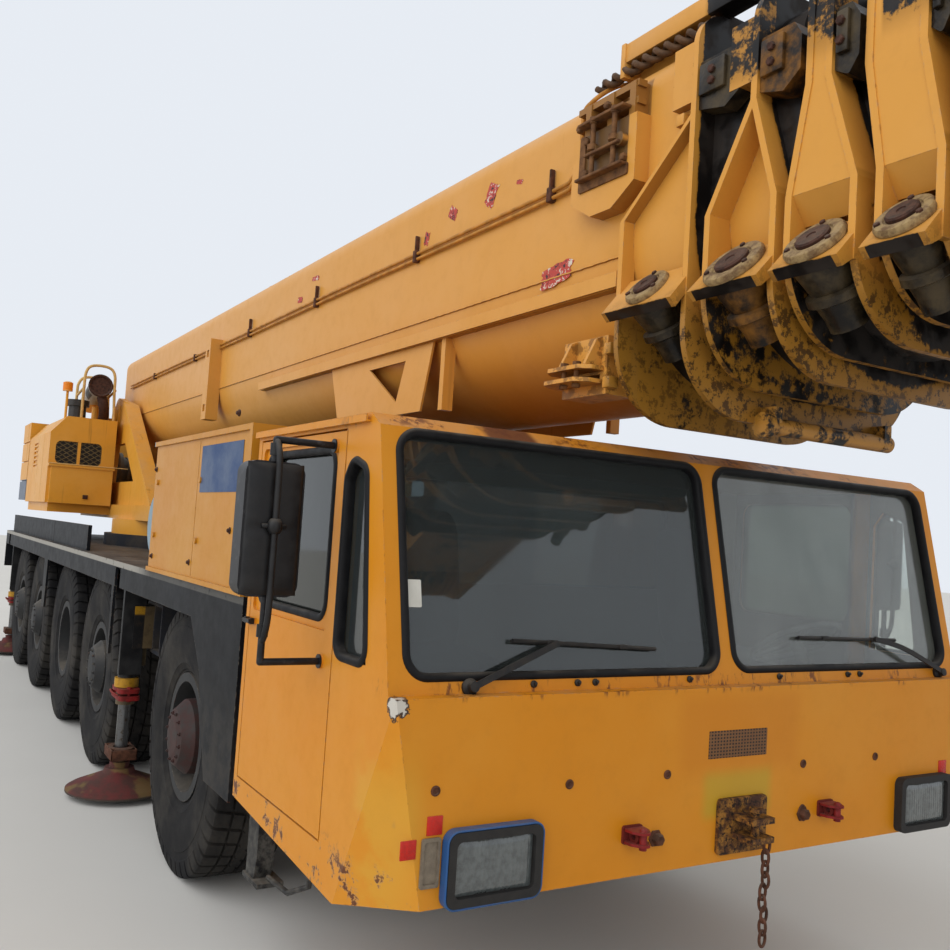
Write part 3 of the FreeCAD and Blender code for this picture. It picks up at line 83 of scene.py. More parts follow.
# Rear and front plate, knee and peak height, and where the leaning plates end at the peak
MOUTHS = (
    (0.130, -0.250, 3.160, 3.460, -0.225, -0.250),
    (-0.320, -0.630, 3.070, 3.410, -0.502, -0.527),
    (-0.665, -0.925, 3.040, 3.380, -0.724, -0.819),
    (-0.985, -1.195, 3.040, 3.360, -0.935, -1.130),
    (-1.255, -1.420, 3.040, 3.330, -1.213, -1.378),
)

# The photograph's camera, measured from the front panel
CAMERA_AHEAD = 2.688
CAMERA_Y = -2.889
CAMERA_Z = 1.947
CAMERA_YAW = math.radians(148.92)
CAMERA_PITCH = math.radians(3.52)
CAMERA_ROLL = math.radians(3.67)
CAMERA_LENS = 36.47


def paint(red, green, blue):
    """A colour written as it shows on a screen, 0 to 255, as linear light."""
    shown = np.array([red, green, blue]) / 255
    linear = np.where(shown <= 0.04045, shown / 12.92, ((shown + 0.055) / 1.055) ** 2.4)
    return tuple(float(value) for value in linear)


def behind(back):
    """X of a place that lies this far behind the cab's front panel."""
    return FACE_X - back


# Surfaces


class Shape:
    """Points and faces gathered from several surfaces, made into one mesh object at the end."""

    def __init__(self):
        self.points = []
        self.faces = []
        self.count = 0

    def add(self, points, faces):
        """Adds a surface; faces index its own points."""
        points = np.asarray(points, float).reshape(-1, 3)
        self.points.append(points)
        self.faces.extend([[index + self.count for index in face] for face in faces])
        self.count += len(points)
        return self

    def build(self, name, material, body, slot=None, smooth=40.0):
        """The mesh object at the origin, with its faces turned outwards, riding on its body."""
        mesh = bpy.data.meshes.new(name)
        mesh.from_pydata(np.concatenate(self.points).tolist(), [], self.faces)
        mesh.validate()
        piece = bpy.data.objects.new(name, mesh)
        bpy.context.scene.collection.objects.link(piece)
        bpy.ops.object.select_all(action="DESELECT")
        bpy.context.view_layer.objects.active = piece
        piece.select_set(True)
        bpy.ops.object.mode_set(mode="EDIT")
        bpy.ops.mesh.select_all(action="SELECT")
        bpy.ops.mesh.normals_make_consistent(inside=False)
        bpy.ops.object.mode_set(mode="OBJECT")
        piece.select_set(False)
        mesh.shade_smooth()
        mesh.set_sharp_from_angle(angle=math.radians(smooth))
        mesh.materials.append(bpy.data.materials[material])
        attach(piece, body)
        return piece


def grid_faces(rows, columns, closed_rows, closed_columns):
    """Quads between neighbouring rows and columns of a grid of points."""
    index = np.arange(rows * columns).reshape(rows, columns)
    if closed_rows:
        index = np.concatenate([index, index[:1]], axis=0)
    if closed_columns:
        index = np.concatenate([index, index[:, :1]], axis=1)
    quads = joined(index[:-1, :-1], index[1:, :-1], index[1:, 1:], index[:-1, 1:])
    return quads.reshape(-1, 4).tolist()


def block_between(front, back_x):
    """A grid of points and its copy on an upright plane behind it, with walls round the rim."""
    back = front * 1.0
    back[..., 0] = back_x
    rows, columns = front.shape[:2]
    count = rows * columns
    index = np.arange(count).reshape(rows, columns)
    rim = np.concatenate([index[:, 0], index[-1, 1:], index[-2::-1, -1], index[0, -2:0:-1]])
    walls = [[int(a), int(b), int(b) + count, int(a) + count] for a, b in zip(rim, np.roll(rim, -1))]
    faces = grid_faces(rows, columns, False, False)
    faces += [[value + count for value in face[::-1]] for face in faces] + walls
    return np.concatenate([front.reshape(-1, 3), back.reshape(-1, 3)]), faces


def loft(rows, closed_rows=False, caps=True):
    """A skin through rows of points, each row a closed ring; the two end rings are capped."""
    count, ring = rows.shape[:2]
    faces = grid_faces(count, ring, closed_rows, True)
    if caps and not closed_rows:
        faces.append(list(range(ring)))
        faces.append(list(range((count - 1) * ring, count * ring))[::-1])
    return rows.reshape(-1, 3), faces


def joined(*parts):
    """Points from their coordinates; a coordinate given as one number holds for all of them."""
    return np.stack(np.broadcast_arrays(*parts), axis=-1)


def circle(count, radius=1.0, phase=0.0):
    """Points (cos a, sin a) times the radius, for equal steps of the angle a."""
    angle = np.linspace(0, 2 * math.pi, count, endpoint=False) + phase
    return joined(np.cos(angle), np.sin(angle)) * radius


def smooth_line(points, samples):
    """A Catmull-Rom curve: between two points it is a cubic whose slopes come from their neighbours."""
    points = np.asarray(points, float)
    before = np.concatenate([points[:1] * 2 - points[1:2], points[:-1]])[:-1]
    after = np.concatenate([points[1:], points[-1:] * 2 - points[-2:-1]])[1:]
    start, end = points[:-1], points[1:]
    t = np.linspace(0, 1, samples, endpoint=False)[None, :, None]
    a, b, c, d = (value[:, None, :] for value in (before, start, end, after))
    square, cube = 2 * a - 5 * b + 4 * c - d, 3 * b - a - 3 * c + d
    line = 0.5 * (2 * b + (c - a) * t + square * t ** 2 + cube * t ** 3)
    return np.concatenate([line.reshape(-1, points.shape[1]), points[-1:]])


def rounded_loop(points, radius, steps=8):
    """A closed outline with each corner turned into an arc that meets both its sides at a tangent."""
    points = np.asarray(points, float)
    before = np.roll(points, 1, axis=0) - points
    after = np.roll(points, -1, axis=0) - points
    long_before = np.linalg.norm(before, axis=1, keepdims=True)
    long_after = np.linalg.norm(after, axis=1, keepdims=True)
    before, after = before / long_before, after / long_after
    half_angle = np.arccos(np.clip((before * after).sum(axis=1), -1, 1)) / 2
    reach = np.minimum(radius / np.tan(half_angle), 0.48 * np.minimum(long_before, long_after)[:, 0])
    true_radius = reach * np.tan(half_angle)
    bisector = before + after
    bisector /= np.linalg.norm(bisector, axis=1, keepdims=True)
    centre = points + bisector * (true_radius / np.sin(half_angle))[:, None]
    first = points + before * reach[:, None] - centre
    last = points + after * reach[:, None] - centre
    share = np.linspace(0, 1, steps)[None, :, None]
    spread = (math.pi - 2 * half_angle)[:, None, None]
    arc = (np.sin((1 - share) * spread) * first[:, None] + np.sin(share * spread) * last[:,
            None]) / np.sin(spread)
    return (centre[:, None] + arc).reshape(-1, 2)


def box_loop(low_u, high_u, low_v, high_v, radius, steps=8):
    """A rectangle's outline with round corners."""
    return rounded_loop([(low_u, low_v), (high_u, low_v), (high_u, high_v), (low_u, high_v)], radius, steps)


def sweep(path, section, up, closed=False, caps=True):
    """A flat section carried along a path; at each point it stands across the path and keeps to up."""
    path = np.asarray(path, float)
    if closed:
        along = np.roll(path, -1, axis=0) - np.roll(path, 1, axis=0)
    else:
        along = np.gradient(path, axis=0)
    along /= np.linalg.norm(along, axis=1, keepdims=True)
    side = np.cross(along, np.asarray(up, float))
    side /= np.linalg.norm(side, axis=1, keepdims=True)
    top = np.cross(side, along)
    section = np.asarray(section, float)
    rows = path[:, None] + section[None, :, :1] * side[:, None] + section[None, :, 1:] * top[:, None]
    return loft(rows, closed_rows=closed, caps=caps)


def pipe(path, radius, up=(0, 0, 1), sides=10, closed=False):
    """A round bar along a path."""
    return sweep(path, circle(sides, radius), up, closed)


def lathe(profile, centre, axis, steps):
    """A profile of (radius, height) points turned about an axis through the centre."""
    profile = np.asarray(profile, float)
    axis = Vector(axis).normalized()
    turn = np.array(axis.to_track_quat("Z", "Y").to_matrix())
    ring = circle(steps)
    flat = np.empty((len(profile), steps, 3))
    flat[..., :2] = profile[:, None, :1] * ring[None]
    flat[..., 2] = profile[:, None, 1]
    return loft(flat @ turn.T + np.asarray(centre, float))


def side_plane(y, outward=1.0):
    """Puts (back, z, w) on an upright plane that runs front to rear, w along Y times outward."""
    def place(back, z, w=0.0):
        return joined(behind(back), y + outward * w, z)

    return place


def cross_plane(x):
    """Puts (y, z, w) on an upright plane that runs across, w along X."""
    def place(y, z, w=0.0):
        return joined(x + w, y, z)

    return place


def level_plane(z, x=0.0, y=0.0):
    """Puts (u, v, w) on a level plane, counted from X and Y, w along Z."""
    def place(u, v, w=0.0):
        return joined(x + u, y + v, z + w)

    return place


def slab(outline, depth, place):
    """An outline given thickness: place(u, v, w) puts each point, with w from 0 to depth."""
    outline = np.asarray(outline, float)
    rows = np.stack([place(outline[:, 0], outline[:, 1], level) for level in (0.0, depth)])
    return loft(rows)


def bevelled_slab(outline_of, depth, edge, place):
    """A slab whose rim is rounded: outline_of(inset) gives the outline drawn in by an inset."""
    levels = [(edge, 0.0), (0.3 * edge, 0.3 * edge), (0.0, edge), (0.0, depth - edge),
              (0.3 * edge, depth - 0.3 * edge), (edge, depth)]
    rows = [place(outline_of(inset)[:, 0], outline_of(inset)[:, 1], level) for inset, level in levels]
    return loft(np.stack(rows))


def brick(low, high, edge=0.003):
    """A block between two corners with its twelve edges cut at an angle."""
    low, high = np.asarray(low, float), np.asarray(high, float)

    def outline(inset):
        return rounded_loop([(low[0] + inset, low[1] + inset), (high[0] - inset, low[1] + inset),
                             (high[0] - inset, high[1] - inset), (low[0] + inset, high[1] - inset)], edge, 3)

    return bevelled_slab(outline, high[2] - low[2], min(edge, (high[2] - low[2]) / 3), level_plane(low[2]))


# Materials


class Wiring:
    """Adds nodes to a tree and joins them, so that a material reads as a chain of named steps."""

    def __init__(self, tree):
        self.tree = tree

    def node(self, kind, **values):
        """A node; a value named after a setting is set on it, any other goes to the input of that name."""
        made = self.tree.nodes.new(kind)
        for name, value in values.items():
            if hasattr(made, name):
                setattr(made, name, value)
            else:
                self.feed(made.inputs[name.replace("_", " ")], value)
        return made

    def feed(self, socket, value):
        if isinstance(value, bpy.types.NodeSocket):
            self.tree.links.new(value, socket)
        elif hasattr(socket.default_value, "__len__") and len(value) == 3 and len(socket.default_value) == 4:
            socket.default_value = (*value, 1.0)
        else:
            socket.default_value = value

    def math(self, operation, first, second=0.0, clamp=False):
        made = self.tree.nodes.new("ShaderNodeMath")
        made.operation = operation
        made.use_clamp = clamp
        self.feed(made.inputs[0], first)
        self.feed(made.inputs[1], second)
        return made.outputs[0]

    def plus(self, first, second):
        return self.math("ADD", first, second)

    def minus(self, first, second):
        return self.math("SUBTRACT", first, second)

    def times(self, first, second):
        return self.math("MULTIPLY", first, second)

    def size(self, value):
        return self.math("ABSOLUTE", value)

    def most(self, *values):
        """The greatest of several values, kept between 0 and 1."""
        result = values[0]
        for value in values[1:]:
            result = self.math("MAXIMUM", result, value, clamp=True)
        return result

    def swing(self, noise, reach):
        """A noise's rise and fall about its middle, times a reach."""
        return self.times(self.minus(noise, 0.5), reach)

    def distance(self, place, centre):
        """How far a place lies from a fixed centre."""
        made = self.node("ShaderNodeVectorMath", operation="DISTANCE")
        self.feed(made.inputs[0], place)
        made.inputs[1].default_value = centre
        return made.outputs["Value"]

    def climb(self, value, start, width):
        """0 below a start that another node gives and 1 above start plus width."""
        made = self.node("ShaderNodeMapRange", interpolation_type="SMOOTHSTEP")
        for socket, number in zip(made.inputs, (value, start, self.plus(start, width))):
            self.feed(socket, number)
        return made.outputs[0]

    def step(self, value, low, high):
        """0 below low and 1 above high, with a smooth rise between; high may be the lower one."""
        made = self.tree.nodes.new("ShaderNodeMapRange")
        made.interpolation_type = "SMOOTHSTEP"
        flip = high < low
        for socket, number in zip(made.inputs, (value, min(low, high), max(low, high), 1.0 * flip,
                                                1.0 - flip)):
            self.feed(socket, number)
        return made.outputs[0]

    def mix(self, share, first, second, blend="MIX"):
        made = self.tree.nodes.new("ShaderNodeMix")
        made.data_type = "RGBA"
        made.blend_type = blend
        self.feed(made.inputs[0], share)
        self.feed(made.inputs[6], first)
        self.feed(made.inputs[7], second)
        return made.outputs[2]

    def over(self, tone, mask, colour, share=1.0):
        """A tone with a colour laid over it where the mask is full, at a share of its strength."""
        return self.mix(mask if share == 1.0 else self.times(mask, share), tone, colour)

    def blend(self, share, first, second):
        made = self.tree.nodes.new("ShaderNodeMix")
        made.data_type = "FLOAT"
        self.feed(made.inputs[0], share)
        self.feed(made.inputs[2], first)
        self.feed(made.inputs[3], second)
        return made.outputs[0]

    def place(self):
        """Object coordinates."""
        return self.tree.nodes.new("ShaderNodeTexCoord").outputs["Object"]

    def facing(self):
        """The surface's direction in the object's own axes."""
        return self.split(self.tree.nodes.new("ShaderNodeTexCoord").outputs["Normal"])

    def split(self, vector):
        made = self.tree.nodes.new("ShaderNodeSeparateXYZ")
        self.feed(made.inputs[0], vector)
        return made.outputs

    def stretched(self, vector, scale, shift=(0, 0, 0)):
        made = self.tree.nodes.new("ShaderNodeMapping")
        self.feed(made.inputs["Vector"], vector)
        made.inputs["Location"].default_value = shift
        made.inputs["Scale"].default_value = scale
        return made.outputs[0]

    def noise(self, vector, scale, detail, roughness):
        made = self.tree.nodes.new("ShaderNodeTexNoise")
        for name, value in (("Vector", vector), ("Scale", scale), ("Detail", detail),
                            ("Roughness", roughness)):
            self.feed(made.inputs[name], value)
        return made.outputs["Fac"]

    def within(self, value, low, high, soft=0.004):
        """1 between two values and 0 outside, over a soft edge."""
        rise = self.step(value, low - soft, low + soft)
        fall = self.step(value, high + soft, high - soft)
        return self.math("MULTIPLY", rise, fall)

    def all_of(self, *masks):
        result = masks[0]
        for mask in masks[1:]:
            result = self.math("MULTIPLY", result, mask)
        return result

    def group(self, name, **inputs):
        made = self.tree.nodes.new("ShaderNodeGroup")
        made.node_tree = bpy.data.node_groups[name]
        for label, value in inputs.items():
            self.feed(made.inputs[label.replace("_", " ")], value)
        return made.outputs


# How far each effect of old paint goes where a finish says nothing else
PAINT_WEAR = {"Fading": 0.5, "Runs": 0.4, "Chips": 0.4, "Edges": 0.6, "Dust": 0.3, "Gloss": 0.42,
              "Mottle": 0.06}


def new_group(name, inputs, outputs=("Mask",)):
    """A shader node group with named sockets, a colour's where the value is a triple, and its wiring."""
    tree = bpy.data.node_groups.new(name, "ShaderNodeTree")
    for label, value in inputs.items():
        colour = isinstance(value, tuple)
        kind = "NodeSocketColor" if colour else "NodeSocketFloat"
        socket = tree.interface.new_socket(label, in_out="INPUT", socket_type=kind)
        socket.default_value = (*value, 1.0) if colour else value
    for label in outputs:
        kind = "NodeSocketColor" if label == "Colour" else "NodeSocketFloat"
        tree.interface.new_socket(label, in_out="OUTPUT", socket_type=kind)
    wiring = Wiring(tree)
    return wiring, tree.nodes.new("NodeGroupInput").outputs, tree.nodes.new("NodeGroupOutput").inputs


def build_groups():
    """The effects that several finishes share."""
    # Edge wear: where a rounded copy of the surface's normal turns away from the true one
    w, source, result = new_group("Edge wear", {"Width": 0.006, "Breakup": 40.0})
    rounded = w.node("ShaderNodeBevel", samples=2)
    w.feed(rounded.inputs["Radius"], source["Width"])
    flat = w.node("ShaderNodeNewGeometry")
    dot = w.node("ShaderNodeVectorMath", operation="DOT_PRODUCT")
    w.feed(dot.inputs[0], rounded.outputs[0])
    w.feed(dot.inputs[1], flat.outputs["Normal"])
    bend = w.step(dot.outputs["Value"], 0.995, 0.90)
    chips = w.step(w.noise(w.place(), source["Breakup"], 5, 0.65), 0.50, 0.58)
    w.feed(result["Mask"], w.times(bend, chips))

    # Runs: streaks of dirt and rust that follow gravity, from noise drawn out along Z
    w, source, result = new_group("Runs", {"Fineness": 18.0, "Amount": 0.5})
    drawn = w.noise(w.stretched(w.place(), (1.0, 1.0, 0.045)), source["Fineness"], 3, 0.6)
    patch = w.noise(w.place(), 1.3, 3, 0.5)
    start = w.minus(0.78, w.times(source["Amount"], 0.30))
    w.feed(result["Mask"], w.climb(w.plus(drawn, w.swing(patch, 0.35)), start, 0.16))

    # Chips: small spots where the paint is gone, gathered in patches
    w, source, result = new_group("Chips", {"Fineness": 60.0, "Amount": 0.4})
    spots = w.noise(w.place(), source["Fineness"], 4, 0.7)
    patch = w.noise(w.place(), 2.1, 3, 0.6)
    start = w.minus(0.92, w.times(source["Amount"], 0.25))
    w.feed(result["Mask"], w.climb(w.plus(spots, w.swing(patch, 0.6)), start, 0.03))

    # Dust: settles on faces that look up, and thins out on steep ones
    w, source, result = new_group("Dust", {"Amount": 0.5})
    up = w.split(w.node("ShaderNodeNewGeometry").outputs["Normal"])[2]
    settled = w.step(up, 0.1, 0.95)
    cloud = w.step(w.noise(w.place(), 3.7, 6, 0.65), 0.30, 0.72)
    w.feed(result["Mask"], w.all_of(settled, cloud, source["Amount"]))

    # Weathered paint: fading in clouds, runs, chips with rust, worn edges and dust, in that order
    colours = {"Paint": (0.6, 0.3, 0.03), "Faded": (0.7, 0.42, 0.1), "Grime": (0.05, 0.035, 0.02),
               "Rust": (0.12, 0.035, 0.012), "Bare": (0.3, 0.27, 0.22)}
    w, source, result = new_group("Weathered paint", {**colours, **PAINT_WEAR}, ("Colour", "Roughness",
            "Height"))
    place = w.place()
    cloud = w.step(w.noise(place, 0.9, 5, 0.6), 0.35, 0.70)
    colour = w.mix(w.times(cloud, source["Fading"]), source["Paint"], source["Faded"])
    mottle = w.noise(place, 9.0, 6, 0.7)
    colour = w.mix(w.times(w.step(mottle, 0.45, 0.75), source["Mottle"]), colour, source["Grime"])
    runs = w.group("Runs", Fineness=14.0, Amount=source["Runs"])["Mask"]
    colour = w.over(colour, runs, source["Grime"], w.times(source["Runs"], 0.75))
    chips = w.group("Chips", Fineness=46.0, Amount=source["Chips"])["Mask"]
    colour = w.mix(chips, colour, source["Rust"])
    edges = w.times(w.group("Edge wear", Width=0.007, Breakup=34.0)["Mask"], source["Edges"])
    rusty = w.mix(w.step(w.noise(place, 21.0, 3, 0.6), 0.45, 0.60), source["Bare"], source["Rust"])
    colour = w.mix(edges, colour, rusty)
    dust = w.group("Dust", Amount=source["Dust"])["Mask"]
    colour = w.mix(dust, colour, (0.36, 0.31, 0.25))
    damage = w.most(chips, edges)
    rough = w.plus(source["Gloss"], w.swing(mottle, 0.30))
    rough = w.blend(w.most(damage, runs, dust), rough, 0.85)
    ripple = w.noise(place, 2.6, 2, 0.5)
    peel = w.noise(place, 420.0, 2, 0.5)
    height = w.plus(w.times(ripple, 0.9), w.times(peel, 0.02))
    height = w.minus(height, w.times(damage, 0.10))
    w.feed(result["Colour"], colour)
    w.feed(result["Roughness"], w.math("MINIMUM", rough, 0.95))
    w.feed(result["Height"], height)

    # Grease: black where a mask is full, breaking into spatter towards its border
    w, source, result = new_group("Grease", {"Region": 0.0}, ("Mask", "Wetness"))
    clots = w.noise(w.place(), 26.0, 6, 0.72)
    broad = w.noise(w.place(), 5.0, 4, 0.6)
    level = w.plus(w.plus(source["Region"], w.swing(clots, 0.9)), w.swing(broad, 0.8))
    cover = w.times(w.step(level, 0.42, 0.56), w.step(source["Region"], 0.02, 0.15))
    w.feed(result["Mask"], cover)
    w.feed(result["Wetness"], w.step(w.noise(w.place(), 11.0, 3, 0.5), 0.40, 0.65))


def new_material(name):
    """A material with a Principled shader, and the wiring that feeds it."""
    material = bpy.data.materials.new(name)
    material.use_nodes = True
    wiring = Wiring(material.node_tree)
    shader = material.node_tree.nodes["Principled BSDF"]
    return wiring, shader


def surface(w, shader, tone, rough, height=None, relief=0.001, strength=0.5, **settings):
    """Joins a tone, a roughness and a relief to the shader; the settings fill its other inputs."""
    for name, value in {"Base Color": tone, "Roughness": rough, **settings}.items():
        w.feed(shader.inputs[name.replace("_", " ")], value)
    if height is not None:
        made = w.node("ShaderNodeBump", Strength=strength, Distance=relief, Height=height)
        w.feed(shader.inputs["Normal"], made.outputs[0])


def weathered(name, colour, faded, repaint=None, part=(), grime=(0.045, 0.032, 0.02), shine=0.28, **amounts):
    """Old machine paint; repaint(w, place, colour, rough, *part) may lay other finishes over parts of it."""
    w, shader = new_material(name)
    out = w.group("Weathered paint", Paint=colour, Faded=faded, Grime=grime, **{**PAINT_WEAR, **amounts})
    tone, rough = out["Colour"], out["Roughness"]
    if repaint:
        tone, rough = repaint(w, w.place(), tone, rough, *part)
    surface(w, shader, tone, rough, out["Height"], 0.004, 0.35, Specular_IOR_Level=shine)


def plain(name, colour, second, scale, rough=0.6, metal=0.0, speck=0.5, relief=0.001, coat=0.0, shine=0.25):
    """A finish of two tones in fine clouds with a matching roughness and relief."""
    w, shader = new_material(name)
    place = w.place()
    cloud = w.step(w.noise(place, scale, 6, 0.65), 0.35, 0.68)
    tone = w.over(colour, cloud, second, speck)
    tone = w.over(tone, w.group("Dust", Amount=0.25)["Mask"], (0.33, 0.29, 0.24))
    surface(w, shader, tone, w.plus(rough - 0.08, w.times(cloud, 0.22)), w.noise(place, scale * 5, 4, 0.6),
            relief, Metallic=metal, Specular_IOR_Level=shine, Coat_Weight=coat)


RUST = paint(92, 44, 26)
GREASE = paint(17, 14, 13)


def cab_extras(w, place, tone, rough):
    """Cab paint: repainted corners, rust below and above the windscreens, chips, and the grey inside."""
    x, y, z = w.split(place)
    side = w.size(y)
    cloud = w.noise(place, 3.2, 5, 0.6)
    # A greenish repaint on the lower corners and in a patch over the coupling
    corner = w.all_of(w.step(side, 1.34, 1.44), w.step(z, 1.36, 1.05), w.step(x, behind(0.30), behind(0.20)),
                      w.step(cloud, 0.38, 0.52))
    patch = w.all_of(w.within(y, -0.17, 0.19, 0.03), w.within(z, 0.93, 1.10, 0.03),
                     w.step(x, behind(0.02), behind(0.01)))
    tone = w.over(tone, corner, paint(206, 166, 60), 0.40)
    tone = w.over(tone, patch, paint(176, 152, 44), 0.65)
    # Rust that runs from the ledge below the windscreens and from the roof's front edge
    drawn = w.noise(w.stretched(place, (1, 1, 0.22)), 34.0, 5, 0.7)
    gathered = w.step(w.noise(place, 5.5, 3, 0.5), 0.46, 0.60)
    ledge = w.all_of(w.within(z, 1.405, 1.462, 0.012), w.step(drawn, 0.50, 0.60), gathered,
                     w.step(x, behind(0.2), behind(0.1)))
    forehead = w.all_of(w.step(z, 2.290, 2.325), w.step(drawn, 0.46, 0.58), gathered, w.step(x, behind(0.62),
            behind(0.46)))
    tone = w.over(tone, w.most(ledge, forehead), RUST, 0.85)
    # Deeper orange round the vent, where the panel was painted over
    fresh = w.all_of(w.within(y, -0.30, 0.34, 0.05), w.within(z, 1.10, 1.39, 0.05), w.step(x, behind(0.02),
            behind(0.01)))
    tone = w.over(tone, fresh, paint(190, 112, 8), 0.4)
    # The dark rust patch on the roof's front edge, peeling low down, and a white chip on the ledge
    scab = w.all_of(w.within(y, -1.07, -0.85, 0.02), w.step(z, 2.292, 2.302), w.step(x, behind(0.36),
            behind(0.34)),
                    w.step(cloud, 0.30, 0.40))
    flaked = w.noise(place, 9.0, 5, 0.72)
    peel = w.all_of(w.step(z, 0.90, 0.80), w.step(flaked, 0.575, 0.590), w.step(side, 1.2, 1.4))
    primer = w.all_of(w.step(z, 0.90, 0.80), w.step(flaked, 0.550, 0.560), w.step(side, 1.2, 1.4))
    tone = w.over(tone, primer, paint(176, 132, 84), 0.7)
    tone = w.over(tone, w.most(scab, peel), paint(84, 42, 30), 0.9)
    chip = w.distance(place, (behind(0.02), -HALF_WIDTH + 0.01, 1.395))
    ragged = w.plus(chip, w.times(w.noise(place, 30.0, 4, 0.7), 0.07))
    tone = w.mix(w.step(ragged, 0.078, 0.074), tone, paint(66, 50, 40))
    white = w.step(ragged, 0.070, 0.066)
    tone = w.mix(white, tone, paint(196, 192, 184))
    wall = w.minus(behind(LEDGE_BACK) + RAKE * LEDGE_Z, w.times(z, RAKE))
    inside = w.all_of(w.step(side, 1.450, 1.440), w.step(x, behind(0.055), behind(0.075)),
                      w.step(z, 1.0, 1.02),
                      w.step(z, 2.295, 2.28), w.step(w.minus(x, wall), -0.012, -0.020))
    tone = w.mix(inside, tone, paint(118, 112, 100))
    return tone, rough


def door_extras(w, place, tone, rough):
    """Door paint, with the mirror's arm in scuffed black plastic and a dull inner face."""
    x, y, z = w.split(place)
    side = w.size(y)
    outboard = w.step(side, HALF_WIDTH + 0.006, HALF_WIDTH + 0.008)
    scuffs = w.step(w.noise(place, 24.0, 5, 0.7), 0.52, 0.72)
    plastic = w.mix(w.times(scuffs, 0.5), paint(22, 22, 25), paint(74, 74, 76))
    tone = w.mix(outboard, tone, plastic)
    inner = w.step(side, HALF_WIDTH - 0.045, HALF_WIDTH - 0.055)
    tone = w.mix(inner, tone, paint(70, 66, 58))
    return tone, w.blend(outboard, rough, 0.38)


def box_extras(w, place, tone, rough):
    """Side boxes: the blue-grey tank behind them and the dirtier cover between them."""
    x, y, z = w.split(place)
    tank = w.within(x, behind(4.00), behind(3.452), 0.002)
    tone = w.mix(tank, tone, w.mix(w.noise(place, 7.0, 5, 0.6), paint(138, 164, 178), paint(104, 124, 136)))
    cover = w.all_of(w.step(w.size(y), 0.62, 0.61), w.step(x, behind(3.46), behind(3.44)))
    tone = w.over(tone, cover, paint(120, 84, 40), 0.5)
    return tone, rough


def hood_extras(w, place, tone, rough):
    """Engine hood: the pale silencer, the air cleaner, the beacon's foot and painted shade in the grille
    well.
    """
    x, y, z = w.split(place)
    stack = w.all_of(w.step(z, 3.175, 3.185), w.step(w.size(w.minus(y, -0.95)), 0.16, 0.155))
    tone = w.mix(stack, tone, w.mix(w.noise(place, 12.0, 5, 0.6), paint(196, 196, 190), paint(128, 118, 108)))
    cleaner = w.all_of(w.step(z, 2.972, 2.976), w.within(y, -1.29, -1.02), w.step(x, behind(9.26),
            behind(9.25)),
                       w.step(x, behind(8.99), behind(9.0)))
    tone = w.mix(cleaner, tone, paint(54, 52, 50))
    beacon = w.all_of(w.step(z, 3.255, 3.26), w.within(y, -1.36, -1.24))
    tone = w.mix(beacon, tone, paint(226, 128, 20))
    # Painted shade: the well behind the grille is near-black for the dark inside
    grille_well_shade = w.all_of(w.step(x, behind(8.822), behind(8.826)), w.within(y, -1.383, -0.902), w.within(z, 2.437,
            2.688))
    tone = w.mix(grille_well_shade, tone, paint(26, 26, 26))
    return tone, rough


def weight_extras(w, place, tone, rough):
    """The counterweight's blue-grey stripe."""
    x, y, z = w.split(place)
    band = w.step(z, 2.28, 2.275)
    return w.mix(band, tone, paint(86, 96, 112)), rough


def frame_extras(w, place, tone, rough):
    """Road dirt on the frame."""
    x, y, z = w.split(place)
    dirt = w.step(w.noise(place, 4.0, 5, 0.6), 0.40, 0.66)
    return w.over(tone, dirt, paint(80, 70, 58), 0.45), rough


def skirt_extras(w, place, tone, rough):
    """The deck's bare rail along its edge, dusty towards the front, and splashes along its foot."""
    x, y, z = w.split(place)
    side = w.size(y)
    rail = w.all_of(w.step(side, 1.498, 1.4985), w.step(z, 1.560, 1.565))
    dusty = w.blend(w.step(x, behind(3.3), behind(3.9)), 0.22, 1.0)
    rail = w.all_of(rail, w.step(w.noise(place, 14.0, 4, 0.7), 0.30, 0.44), dusty)
    tone = w.mix(rail, tone, paint(150, 147, 140))
    splash = w.all_of(w.step(z, 1.25, 0.85), w.step(w.noise(place, 6.0, 5, 0.7), 0.38, 0.58))
    return w.over(tone, splash, paint(78, 72, 64), 0.28), rough


